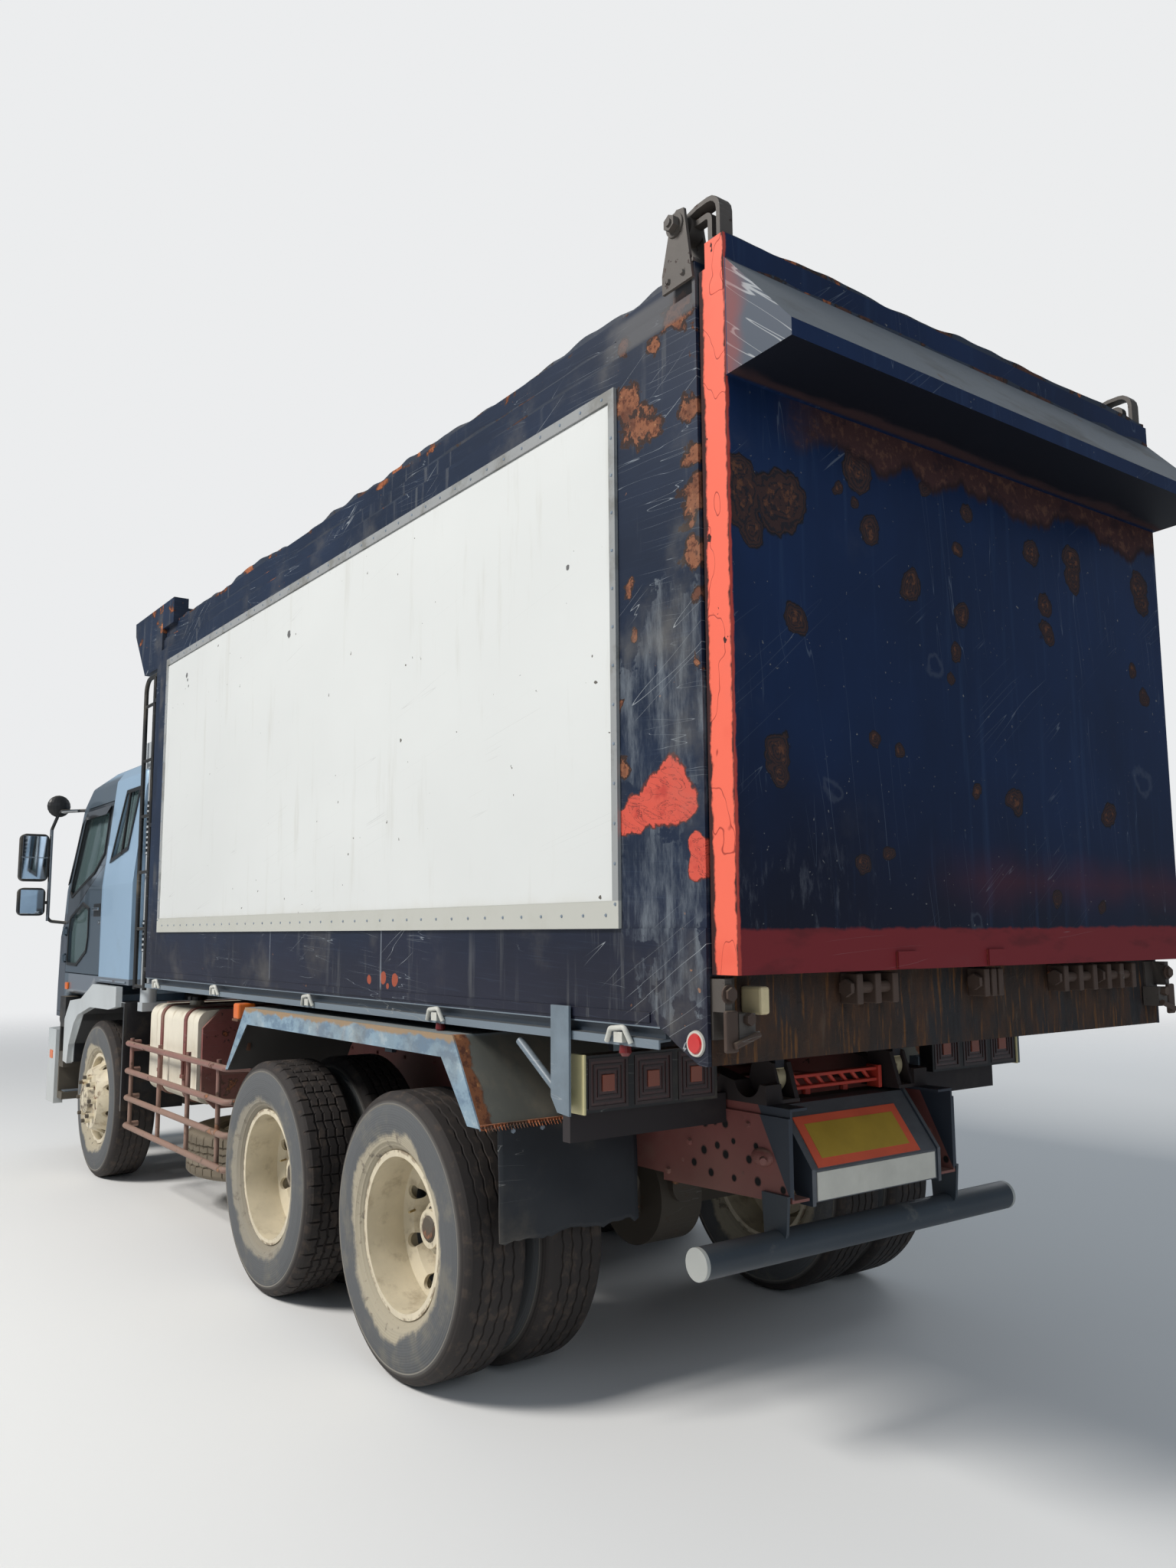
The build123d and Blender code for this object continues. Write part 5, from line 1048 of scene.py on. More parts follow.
# %% Glass and lenses
def thin_glass(name, tint, clear=0.6, rough=0.03, smear=0.3):
    """A see-through pane; clear from 0 to 1 says how much shows through it."""
    glass = Finish(name, tint, rough)
    tree = glass.tree
    glass.dust(smear * 0.5, (150, 148, 140), 1.0)
    material = glass.done()
    see_through = tree.nodes.new("ShaderNodeBsdfTransparent")
    see_through.inputs["Color"].default_value = (0.82, 0.9, 0.88, 1.0)
    mix = tree.nodes.new("ShaderNodeMixShader")
    edge = tree.nodes.new("ShaderNodeLayerWeight")
    edge.inputs["Blend"].default_value = 0.25
    share = glass.plus(glass.times(edge.outputs["Facing"], 0.5), 1.0 - clear)
    share = glass.plus(share, glass.times(glass.patches(0.5, 0.8, 3.0, 5.0, 0.6), smear))
    tree.links.new(glass.math("MINIMUM", share, 1.0), mix.inputs[0])
    tree.links.new(see_through.outputs[0], mix.inputs[1])
    tree.links.new(glass.shader.outputs[0], mix.inputs[2])
    tree.links.new(mix.outputs[0], tree.nodes["Material Output"].inputs[0])
    return material


window = thin_glass("window_glass_pane", (92, 110, 112), 0.62)
dress(window, "cab_glass", "door_glass_left", "door_glass_right")
dress(thin_glass("lamp_glass", (206, 212, 214), 0.86, 0.05, 0.08), "head_lamps")

lens = Finish("red_lens", (66, 24, 22), 0.25, 0.0, 0.5)
lens.varied(lens.noise(9.0, 4.0, 0.6), 0.7, 1.1)
lens.raised(lens.times(lens.ripple(lens.y, 1100.0), lens.ripple(lens.z, 1100.0)), 0.0006)
lens.dust(0.5, (96, 78, 70), 2.0)
dress(lens.done(0.6), "lamp_lenses")
print("glass and lenses")

# %% [markdown]
# ## A kit for small pieces
# Each added piece is built in place, in truck metres, in a `bmesh`. `piece` turns the finished
# mesh into an object that rides on one body of the truck, so it follows every door and hinge.
# `block`, `rod`, `studs` and `strip` are the shapes that most fittings are made of, and `pair` puts
# one of them on both sides of the truck.

# %% Piece kit
def piece(name, mesh, body, material, smooth=False):
    """Turns a finished mesh into an object that rides on a body of the truck."""
    bmesh.ops.recalc_face_normals(mesh, faces=mesh.faces)
    for face in mesh.faces:
        face.smooth = smooth
    data = bpy.data.meshes.new(name)
    mesh.to_mesh(data)
    mesh.free()
    data.materials.append(material)
    made = bpy.data.objects.new(name, data)
    bpy.context.scene.collection.objects.link(made)
    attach(made, body)
    return made


def block(mesh, low, high, round_off=0.0):
    """A box between two opposite corners, given in any order, with its edges rounded off."""
    a, b = Vector(low), Vector(high)
    verts = bmesh.ops.create_cube(mesh, size=1.0)["verts"]
    bmesh.ops.scale(mesh, vec=[abs(s) for s in b - a], verts=verts)
    bmesh.ops.translate(mesh, vec=(a + b) / 2, verts=verts)
    if round_off:
        edges = list({edge for vert in verts for edge in vert.link_edges})
        bmesh.ops.bevel(mesh, geom=edges, offset=round_off, offset_type="OFFSET", segments=2, profile=0.5,
                        affect="EDGES", material=-1)


def rod(mesh, start, end, radius, sides=12, end_radius=None):
    """A round bar, or a cone, between two points."""
    run = Vector(end) - Vector(start)
    aim = run.to_track_quat("Z", "Y").to_matrix().to_4x4()
    place = Matrix.Translation((Vector(start) + Vector(end)) / 2) @ aim
    far = radius if end_radius is None else end_radius
    bmesh.ops.create_cone(mesh, cap_ends=True, segments=sides, radius1=radius, radius2=far,
                          depth=run.length, matrix=place)


def studs(mesh, places, out, radius, height, sides=6):
    """Small heads that all point the same way, such as rivets and bolts."""
    for place in places:
        rod(mesh, place, Vector(place) + Vector(out) * height, radius, sides, radius * 0.62)


def pair(shape, mesh, start, end, *more):
    """A block or a rod on the truck's left, and its mirror image on the right."""
    for s in (1, -1):
        shape(mesh, (start[0], s * start[1], start[2]), (end[0], s * end[1], end[2]), *more)


print("solid shapes ready")

# %% [markdown]
# ### Flat shapes
# Rubbers and plates start flat. `flat_ring` and `strip` lay them out, and `push_out` makes a flat
# shape thick.

# %% Piece kit, flat shapes
def push_out(mesh, faces, way):
    """Makes a slab out of flat faces."""
    made = bmesh.ops.extrude_face_region(mesh, geom=faces)["geom"]
    bmesh.ops.translate(mesh, vec=way, verts=[v for v in made if isinstance(v, bmesh.types.BMVert)])


def flat_ring(mesh, corners, width):
    """A flat ring of one width, inside an outline."""
    face = mesh.faces.new([mesh.verts.new(c) for c in corners])
    face.normal_update()
    bmesh.ops.inset_region(mesh, faces=[face], thickness=width, use_boundary=True, use_even_offset=True)
    bmesh.ops.delete(mesh, geom=[face], context="FACES_ONLY")


def strip(mesh, line, towards, thick):
    """A ribbon between two lines of the same number of points, given its thickness."""
    first = [mesh.verts.new(p) for p in line]
    second = [mesh.verts.new(p) for p in towards]
    faces = []
    for i in range(len(line) - 1):
        faces.append(mesh.faces.new((first[i], first[i + 1], second[i + 1], second[i])))
    bmesh.ops.recalc_face_normals(mesh, faces=faces)
    bmesh.ops.solidify(mesh, geom=faces, thickness=thick)


print("flat shapes ready")

# %% [markdown]
# ## Finishes for the small pieces
# Lenses, trim and chrome are small, so a wandering colour and a little dust are enough.

# %% Small finishes
def plain(name, colour, rough=0.4, metal=0.0, coat=0.0, grime=0.25):
    """A finish for a small piece; grime is the amount of dust."""
    finish = Finish(name, colour, rough, metal, coat)
    finish.varied(finish.noise(8.0, 4.0, 0.6), 0.9, 1.08)
    finish.dust(grime, (140, 130, 114), 6.0)
    return finish.done()


amber = plain("amber_lens", (226, 110, 34), 0.3, 0.0, 0.4)
signal_red = plain("signal_red_lens", (196, 34, 34), 0.25, 0.0, 0.5)
lamp_core = plain("lamp_core", (140, 70, 47), 0.35, 0.0, 0.4)
mirror_glass = plain("mirror_silver", (206, 212, 218), 0.04, 1.0, 0.0, 0.1)
chrome = plain("bright_trim", (186, 188, 190), 0.16, 1.0, 0.0, 0.2)
brass = plain("valve_brass", (176, 156, 112), 0.4, 0.6, 0.0, 0.3)
black_trim = plain("black_trim", (26, 27, 29), 0.45, 0.0, 0.0, 0.3)
off_white = plain("pale_plate", (198, 196, 186), 0.45, 0.0, 0.0, 0.4)
rusty = worn_paint("rusty_lump", (98, 66, 48), 0.85, 0.8, 0.3, 14.0, flakes=(58, 40, 34))
print("small finishes ready")

# %% [markdown]
# ## Tyres with a tread
# The frame's tyres are plain rings. Each is replaced by one of the same outline: half a profile
# with its grooves is mirrored, spun once round the axle, and then its rows are pulled about. A
# zig-zag shifts the groove edges sideways, and on the drive tyres some rows sink to the groove
# bottom, which cuts the ribs into blocks.

# %% Tyre treads
SIDEWALL = [(0.291, 0.093), (0.302, 0.101), (0.316, 0.117), (0.326, 0.123), (0.331, 0.128),
            (0.368, 0.137), (0.402, 0.140), (0.438, 0.1375), (0.466, 0.131), (0.470, 0.1325),
            (0.488, 0.126), (0.500, 0.119), (0.509, 0.109), (0.5135, 0.100)]
TREADS = {  # groove centres, half width, depth, zig-zag, pitches in a turn, rows in a pitch, blocks
    "drive": ([0.060, 0.021], 0.0065, 0.011, 0.006, 42, 6, True),
    "rib": ([0.062, 0.021], 0.0050, 0.006, 0.003, 48, 4, False),
}
TYRE_R = 0.515
SIPE_ROWS = {1: -0.62, 2: 0.62, 4: -0.62, 5: 0.62}


def tyre_mesh(kind):
    """A tyre round the origin, with its axle along the Y axis."""
    grooves, half, depth, zigzag, pitches, rows, blocks = TREADS[kind]
    line = list(SIDEWALL)
    for centre in grooves:
        for offset, drop in ((half, 0.0), (half * 0.5, depth), (-half * 0.5, depth), (-half, 0.0)):
            line.append((TYRE_R - 0.0005 - drop, centre + offset))
    line += [(r, -w) for r, w in reversed(line)]
    mesh = bmesh.new()
    verts = [mesh.verts.new((0, w, r)) for r, w in line]
    edges = [mesh.edges.new(ends) for ends in zip(verts, verts[1:])]
    steps = pitches * rows
    bmesh.ops.spin(mesh, geom=verts + edges, cent=(0, 0, 0), axis=(0, 1, 0), angle=math.tau, steps=steps,
                   use_merge=True)
    for vert in mesh.verts:
        x, w, z = vert.co
        radius = math.hypot(x, z)
        angle = math.atan2(x, z)
        row = round(angle / math.tau * steps) % rows
        if radius < 0.495:
            continue
        if blocks:
            angle += SIPE_ROWS.get(row, 0.0) * math.tau / steps
            shoulder = abs(w) > 0.066
            if (shoulder and row == 0) or (not shoulder and row == 3):
                radius = min(radius, TYRE_R - depth * (0.9 if shoulder else 0.6))
        if abs(w) < 0.09:
            w += zigzag * (1 - 2 * abs(row - rows / 2) / (rows / 2))
        vert.co = (radius * math.sin(angle), w, radius * math.cos(angle))
    data = bpy.data.meshes.new(kind + "_tyre")
    mesh.to_mesh(data)
    mesh.free()
    return data


print("sidewall points", len(SIDEWALL))

# %% [markdown]
# ### Tyres on their wheels
# A twin wheel's two tyres are copies in one mesh. The spare lies flat in its hanger.

# %% Tyres in place
def put_tyres(name, kind, places, body, material, nodes, turn_flat=False):
    """One object with a tyre at each place, in place of the frame's plain tyres."""
    mesh = bmesh.new()
    lie = Matrix.Rotation(math.pi / 2, 4, "X") if turn_flat else Matrix()
    for place in places:
        copy = tyre_shape[kind].copy()
        copy.transform(Matrix.Translation(place) @ lie)
        mesh.from_mesh(copy)
    made = piece(name, mesh, body, material)
    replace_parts(made, *nodes)


tyre_shape = {kind: tyre_mesh(kind) for kind in TREADS}
for side, s in SIDES:
    for axle, kind in (("mid", "drive"), ("rear", "rib")):
        places = [(AXLES[axle], s * y, WHEEL_HEIGHT) for y in (1.090, 0.760)]
        put_tyres(f"{axle}_{side}_treaded", kind, places, f"{axle}_{side}_wheels", tyre_finish[axle],
                  [f"{axle}_{side}_tyres"])
    put_tyres(f"front_{side}_treaded", "rib", [(AXLES["front"], s * 1.025, WHEEL_HEIGHT)],
              f"front_{side}_wheel", tyre_finish["front"], [f"front_{side}_tyre"])
spare_rubber = worn_paint("spare_rubber", (70, 66, 62), 0.8, 0.0, 0.8, 17.0)
put_tyres("spare_treaded", "drive", [(1.180, 0.450, 0.330)], "chassis", spare_rubber, ["spare_tyre"],
          turn_flat=True)
dress(wheel_finish["front"], "spare_rim")
print("tyres", {kind: len(data.polygons) for kind, data in tyre_shape.items()})

# %% [markdown]
# ## Dented top edges
# Buckets and loads have bent and torn the top of both walls, and the tailgate's top rim. Each
# torn edge is a thin ribbon whose height follows smooth noise for the long dents and quicker noise
# for the torn bits. It starts a little inside the steel below, so no gap shows.

# %% Torn edges
def torn_edge(mesh, start, end, height, rough, lean, seed, cells=150, thick=0.006):
    """A ragged upright ribbon from start to end; height is its mean rise, lean its outward tilt."""
    start, end, lean = Vector(start), Vector(end), Vector(lean)
    foot = []
    top = []
    for k in range(cells + 1):
        along = start.lerp(end, k / cells)
        far = (along - start).length
        slow = noise.noise((far * 1.6, seed, 0.0))
        quick = noise.noise((far * 8.0, seed, 5.0))
        rise = max(height * (1 + 1.1 * slow) + rough * quick, 0.002)
        foot.append(along)
        top.append(along + Vector((0, 0, rise)) + lean * (slow + 0.4 * quick))
    strip(mesh, foot, top, thick)


TORN_RIMS = [  # back end, front end, sideways place, height, rise, roughness, outward lean, seed
    (-3.45, 1.27, 1.119, 3.540, 0.024, 0.014, 0.010, 3.0),
    (-3.45, 1.27, 1.066, 3.540, 0.018, 0.010, 0.008, 9.0),
    (-3.19, 1.48, 1.136, 3.464, 0.010, 0.005, 0.006, 13.0),
    (-3.19, 1.48, 1.149, 3.394, 0.009, 0.004, 0.004, 17.0),
]
TORN_GATE = [  # place along the truck, height, rise, roughness, lean, seed, thickness
    (-3.690, 3.575, 0.030, 0.008, -0.010, 21.0, 0.008),
    (-3.645, 3.580, 0.022, 0.006, 0.008, 24.0, 0.008),
    (-3.700, 3.500, 0.016, 0.008, -0.014, 27.0, 0.010),
]
edge_paint = Finish("torn_edge_paint", (34, 44, 60), 0.55)
edge_paint.varied(edge_paint.noise(6.0, 5.0, 0.6), 0.8, 1.3)
edge_paint.rust(edge_paint.patches(0.40, 0.6, 1.6, 4.0, 0.6), 6.0, 0.6, 4.0, dark=True)
edge_paint.rust(edge_paint.patches(0.5, 0.62, 2.6, 4.0, 0.6, shift=9.0), 9.0, 0.6, 14.0)
edge_paint.dust(0.3, (120, 110, 98), 3.0)
edge_paint = edge_paint.done(0.6)
for side, s in SIDES:
    mesh = bmesh.new()
    for back, front, y, z, height, rough, lean, seed in TORN_RIMS:
        torn_edge(mesh, (back, s * y, z), (front, s * y, z), height, rough, (0, s * lean, 0), seed + s)
    piece(f"torn_top_{side}", mesh, "bed", edge_paint)
mesh = bmesh.new()
for x, z, height, rough, lean, seed, thick in TORN_GATE:
    torn_edge(mesh, (x, -1.13, z), (x, 1.13, z), height, rough, (lean, 0, 0), seed, 90, thick)
piece("gate_top_rim", mesh, "tailgate", edge_paint)
print("torn edges")

# %% [markdown]
# ## Rivets, reflectors and hinge nuts on the bed
# The white panels are held by rows of flat rivets. The rear corners have a round red reflector
# in a pale ring, each hinge pin ends in a large nut on a washer, and four dull red lamps hang below
# the bed.

# %% Bed fittings
HINGE_X, HINGE_Z = -3.514, 3.692


def on_corner(mesh, s, y0, y1, radius, end_radius):
    """A flat cone on the bed's rear corner, where the round reflector is."""
    rod(mesh, (-3.539, s * y0, 1.318), (-3.539, s * y1, 1.318), radius, 28, end_radius)


rivet_row = [(x, z) for z in (1.668, 3.288) for x in [-3.15 + 0.1155 * k for k in range(39)]]
rivet_row += [(x, z) for x in (-3.196, 1.331) for z in [1.70 + 0.1205 * k for k in range(13)]]
for side, s in SIDES:
    mesh = bmesh.new()
    studs(mesh, [(x, s * 1.1615, z) for x, z in rivet_row], (0, s, 0), 0.0065, 0.0035)
    piece(f"panel_rivets_{side}", mesh, "bed", galvanised)
    mesh = bmesh.new()
    on_corner(mesh, s, 1.1535, 1.160, 0.036, 0.034)
    piece(f"reflector_ring_{side}", mesh, "bed", off_white)
    mesh = bmesh.new()
    on_corner(mesh, s, 1.159, 1.165, 0.029, 0.024)
    piece(f"round_reflector_{side}", mesh, "bed", signal_red)
    mesh = bmesh.new()
    for y0, y1, radius, sides in ((1.159, 1.165, 0.036, 24), (1.164, 1.186, 0.025, 6),
                                  (1.185, 1.192, 0.012, 12)):
        rod(mesh, (HINGE_X, s * y0, HINGE_Z), (HINGE_X, s * y1, HINGE_Z), radius, sides)
    studs(mesh, [(-3.545, s * 1.1595, 3.530), (-3.480, s * 1.1595, 3.530)], (0, s, 0), 0.011, 0.008)
    piece(f"hinge_nuts_{side}", mesh, "bed", hinge_grey)
mesh = bmesh.new()
for x in (-3.210, -2.112):
    pair(rod, mesh, (x, 1.140, 1.291), (x, 1.140, 1.268), 0.017, 16, 0.019)
    pair(rod, mesh, (x, 1.140, 1.269), (x, 1.140, 1.258), 0.019, 16, 0.011)
piece("hanging_lamps", mesh, "bed", plain("dull_red_lens", (112, 30, 30), 0.3, 0.0, 0.4, 0.3))
print("bed fittings")

# %% [markdown]
# ### Tailgate locks
# Lugs and pins below the tailgate are the locks that hold it shut. One lug is cream.

# %% Tailgate locks
LUGS = [(0.629, 0.445), (0.020, -0.080), (-0.430, -0.635), (-0.700, -0.890)]
mesh = bmesh.new()
for left, right_end in LUGS:
    for y in (left, (left + right_end) / 2 + 0.012, right_end + 0.026):
        block(mesh, (-3.584, y, 1.405), (-3.652, y - 0.026, 1.494), 0.004)
    rod(mesh, (-3.625, left + 0.010, 1.452), (-3.625, right_end - 0.010, 1.452), 0.017, 12)
    rod(mesh, (-3.625, left + 0.010, 1.452), (-3.625, left + 0.024, 1.452), 0.026, 6)
pair(rod, mesh, (-3.640, 1.127, 1.452), (-3.656, 1.127, 1.452), 0.019, 6)
pair(rod, mesh, (-3.640, 1.127, 1.452), (-3.645, 1.127, 1.452), 0.026, 16)
pair(rod, mesh, (-3.651, 1.070, 1.385), (-3.668, 1.070, 1.385), 0.017, 6)
pair(block, mesh, (-3.655, 1.105, 1.300), (-3.640, 1.150, 1.410), 0.006)
pair(rod, mesh, (-3.662, 1.128, 1.318), (-3.662, 1.040, 1.345), 0.010, 10)
piece("gate_lugs", mesh, "bed",
      worn_paint("lug_brown", (72, 56, 47), 0.7, 0.35, 0.25, 16.0))
mesh = bmesh.new()
block(mesh, (-3.586, 1.000, 1.395), (-3.668, 1.034, 1.470), 0.008)
piece("cream_lug", mesh, "bed", cream_paint)
print("tailgate locks")

# %% [markdown]
# ## Rear lamps
# Each rear lamp is a dark square box with stepped square rings round a small dull red centre. The
# row of three ends in a cream cover on each side.

# %% Tail lamps
def square_ring(mesh, x, y, z, half, width, rise):
    """A flat square ring that faces backwards."""
    for a0, a1, b0, b1 in ((-half, half, half - width, half), (-half, half, -half, width - half),
                           (-half, width - half, width - half, half - width),
                           (half - width, half, width - half, half - width)):
        block(mesh, (x, y + a0, z + b0), (x - rise, y + a1, z + b1))


LAMP_FACE_X, LAMP_Z = -2.9755, 1.151
rings = bmesh.new()
cores = bmesh.new()
caps = bmesh.new()
for s in (1, -1):
    for k in range(3):
        y = s * (1.118 - 0.0913 - 0.1827 * k)
        for half, width, rise in ((0.078, 0.010, 0.004), (0.058, 0.007, 0.003), (0.042, 0.006, 0.003)):
            square_ring(rings, LAMP_FACE_X, y, LAMP_Z, half, width, rise)
        block(cores, (LAMP_FACE_X, y - 0.024, LAMP_Z - 0.026),
              (LAMP_FACE_X - 0.005, y + 0.024, LAMP_Z + 0.026), 0.002)
    block(caps, (-2.984, s * 1.117, 1.060), (-2.911, s * 1.126, 1.242), 0.002)
piece("lamp_rings", rings, "chassis",
      plain("lamp_ring_brown", (43, 27, 27), 0.4, 0.0, 0.2, 0.3))
piece("lamp_cores", cores, "chassis", lamp_core)
piece("lamp_box_ends", caps, "chassis",
      plain("lamp_end_cream", (214, 204, 154), 0.45, 0.0, 0.1, 0.3))
print("tail lamps")

# %% [markdown]
# ## The tail's slope, strip and lumps
# Below the lamps hangs a sloping grey box with a yellow plate in an orange-red border and a pale
# blank strip. The two colours are thin plates that lie on each other. `slope_up` and `slope_out`
# are the directions along the slope and away from it. The side plate of the frame has an oval lump
# where a hook was.

# %% Tail slope
SLOPE_FOOT = Vector((-3.170, 0.0, 0.826))
SLOPE_TOP = Vector((-3.020, 0.0, 1.022))
TAIL_BOLTS = [(-2.681, 0.868), (-2.560, 0.960), (-2.560, 0.750), (-2.981, 0.965)]
slope_up = (SLOPE_TOP - SLOPE_FOOT).normalized()
slope_out = Vector((-slope_up.z, 0, slope_up.x))


def on_slope(mesh, y0, y1, low, high, lift, thick):
    """A thin plate that lies on the tail's slope, from low to high up the slope."""
    places = ((low, y0), (low, y1), (high, y1), (high, y0))
    corners = [SLOPE_FOOT + slope_up * h + slope_out * lift + Vector((0, y, 0)) for h, y in places]
    face = mesh.faces.new([mesh.verts.new(c) for c in corners])
    push_out(mesh, [face], slope_out * thick)


mesh = bmesh.new()
on_slope(mesh, -0.235, 0.295, 0.008, 0.196, -0.001, 0.004)
piece("tail_border", mesh, "chassis",
      plain("border_orange_red", (222, 92, 62), 0.5, 0.0, 0.1, 0.3))
mesh = bmesh.new()
on_slope(mesh, -0.198, 0.258, 0.038, 0.166, 0.001, 0.003)
piece("tail_yellow", mesh, "chassis",
      plain("plate_mustard", (178, 146, 44), 0.5, 0.0, 0.1, 0.35))
mesh = bmesh.new()
block(mesh, (-3.168, -0.308, 0.729), (-3.1735, 0.308, 0.821), 0.001)
piece("tail_pale_strip", mesh, "chassis", off_white)
mesh = bmesh.new()
for s in (1, -1):
    lump = bmesh.ops.create_uvsphere(mesh, u_segments=20, v_segments=12, radius=1.0)["verts"]
    bmesh.ops.scale(mesh, vec=(0.050, 0.026, 0.030), verts=lump)
    bmesh.ops.translate(mesh, vec=(-3.050, s * 0.436, 0.868), verts=lump)
    rod(mesh, (-3.050, s * 0.436, 0.868), (-3.085, s * 0.470, 0.862), 0.012, 10)
    studs(mesh, [(x, s * 0.4345, z) for x, z in TAIL_BOLTS], (0, s, 0), 0.013, 0.011)
piece("frame_lumps", mesh, "chassis", maroon)
print("tail slope")

# %% [markdown]
# ### The red cross piece
# A grating of two bars and slanting rungs, in red primer, fills the gap between the rear lamps.

# %% Red cross piece
mesh = bmesh.new()
for z in (1.060, 1.100):
    block(mesh, (-2.955, -0.235, z), (-2.990, 0.235, z + 0.012), 0.003)
for k in range(7):
    y = -0.20 + k * 0.062
    rod(mesh, (-2.972, y, 1.066), (-2.972, y + 0.040, 1.106), 0.008, 8)
for s in (1, -1):
    block(mesh, (-2.940, s * 0.222, 1.036), (-3.000, s * 0.240, 1.118), 0.003)
    rod(mesh, (-2.935, s * 0.100, 1.034), (-2.935, s * 0.100, 1.064), 0.016, 10)
piece("red_cross_piece", mesh, "chassis",
      plain("red_oxide", (196, 62, 46), 0.55, 0.0, 0.0, 0.35))
print("red cross piece")

# %% [markdown]
# ## Mudflaps
# The rubber flaps are torn along the bottom and bulge backwards, so each is a grid whose points
# are moved by noise and then given its thickness.

# %% Mudflaps
mesh = bmesh.new()
for s in (1, -1):
    grid = bmesh.ops.create_grid(mesh, x_segments=30, y_segments=24, size=0.5)["verts"]
    for vert in grid:
        across, down = vert.co.x + 0.5, 0.5 - vert.co.y
        torn = 0.022 * noise.noise((across * 5.0, s, 1.0)) + 0.016 * noise.noise((across * 17.0, s, 4.0))
        bulge = 0.030 * down * noise.noise((across * 2.3, down * 1.5, s * 3.0)) + 0.012 * down
        vert.co = (-2.505 - abs(bulge), s * (0.550 + 0.590 * across), 0.968 - down * (0.376 + torn))
bmesh.ops.solidify(mesh, geom=mesh.faces[:], thickness=0.006)
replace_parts(piece("torn_flaps", mesh, "chassis", rubber, smooth=True), "mudflaps")
print("mudflaps")

# %% [markdown]
# ### Fender teeth and side lamps
# The fenders' rear lip is a row of small teeth, where the steel has been cut and bent. An amber
# lamp stands on a bent stay ahead of each fender.

# %% Fender teeth and side lamps
mesh = bmesh.new()
studs(mesh, [(-2.509, s * y, 0.950) for y in (0.60, 0.72, 0.84, 0.96, 1.08) for s in (1, -1)], (-1, 0, 0),
      0.011, 0.008)
piece("flap_bolts", mesh, "chassis", galvanised)
mesh = bmesh.new()
for s in (1, -1):
    for k in range(50):
        y = s * (0.565 + 0.0127 * k)
        dent = 0.004 * noise.noise((k * 0.7, s, 2.0))
        rod(mesh, (-2.500, y, 0.972 + dent), (-2.522 - dent, y + s * 0.004, 0.957 + dent), 0.0055, 5,
            0.001)
    block(mesh, (-2.492, s * 0.562, 0.962), (-2.504, s * 1.203, 0.978), 0.003)
piece("fender_teeth", mesh, "chassis", rusty)
lamp_mesh = bmesh.new()
holder = bmesh.new()
for s in (1, -1):
    block(lamp_mesh, (-0.100, s * 1.105, 1.196), (-0.176, s * 1.196, 1.274), 0.010)
    block(holder, (-0.115, s * 1.120, 1.040), (-0.160, s * 1.136, 1.200), 0.003)
    block(holder, (-0.098, s * 1.100, 1.186), (-0.180, s * 1.200, 1.198), 0.003)
    block(holder, (-2.200, s * 0.800, 1.258), (-2.290, s * 0.960, 1.292), 0.006)
    studs(holder, [(-2.245, s * y, 1.291) for y in (0.83, 0.93)], (0, 0, 1), 0.012, 0.010)
piece("side_lamps", lamp_mesh, "chassis", amber)
piece("side_lamp_holders", holder, "chassis", rusty)
print("fender teeth and side lamps")

# %% [markdown]
# ## Small things on the chassis
# The tank gets a cap, the straps get bolts, the axles get brake chambers with push rods, and the
# leaf springs get the clips that hold them together.

# %% Chassis fittings
CAP_X, CAP_Y = 1.350, 0.900
mesh = bmesh.new()
rod(mesh, (CAP_X, CAP_Y, 1.214), (CAP_X, CAP_Y, 1.236), 0.054, 24)
rod(mesh, (CAP_X, CAP_Y, 1.236), (CAP_X, CAP_Y, 1.244), 0.054, 24, 0.044)
for k in range(3):
    x = CAP_X + 0.050 * math.cos(math.radians(120 * k))
    y = CAP_Y + 0.050 * math.sin(math.radians(120 * k))
    block(mesh, (x - 0.008, y - 0.008, 1.216), (x + 0.008, y + 0.008, 1.240), 0.002)
piece("tank_cap", mesh, "chassis", black_trim)
mesh = bmesh.new()
for x in (1.010, 1.450):
    rod(mesh, (x, 1.084, 0.800), (x, 1.084, 0.900), 0.009, 10)
    block(mesh, (x - 0.024, 1.078, 0.790), (x + 0.024, 1.092, 0.812), 0.003)
    block(mesh, (x - 0.024, 1.078, 0.888), (x + 0.024, 1.092, 0.910), 0.003)
piece("strap_bolts", mesh, "chassis", maroon)
mesh = bmesh.new()
for x in (AXLES["rear"], AXLES["mid"]):
    pair(rod, mesh, (x - 0.230, 0.330, 0.600), (x - 0.115, 0.330, 0.640), 0.082, 20)
    pair(rod, mesh, (x - 0.160, 0.330, 0.625), (x - 0.148, 0.330, 0.629), 0.090, 20)
    pair(rod, mesh, (x - 0.120, 0.330, 0.638), (x - 0.020, 0.330, 0.560), 0.014, 8)
    pair(block, mesh, (x - 0.050, 0.300, 0.520), (x - 0.115, 0.345, 0.660), 0.006)
for x in (-1.42, -1.11):
    pair(block, mesh, (x, 0.494, 0.500), (x + 0.030, 0.596, 0.735), 0.006)
for x in (2.48, 2.71):
    pair(block, mesh, (x, 0.334, 0.500), (x + 0.030, 0.436, 0.625), 0.006)
piece("brake_chambers", mesh, "chassis", dark_steel)
mesh = bmesh.new()
for x in [-2.95 + 0.31 * k for k in range(21)]:
    if -1.6 < x < -0.9 or 0.7 < x < 1.8:
        continue  # the bogie's bracket and the tank stand here
    for s in (1, -1):
        studs(mesh, [(x, s * 0.4245, z) for z in (0.800, 0.985)], (0, s, 0), 0.012, 0.010)
piece("rail_bolts", mesh, "chassis", maroon)
print("chassis fittings")

# %% [markdown]
# ## Wheel nuts and valves
# Eight nuts stand in a circle on each wheel, and the driven wheels have a second circle of small
# bolts on the hub. A brass valve sticks out of each disc. All of them ride on the wheels, so they
# turn with them.

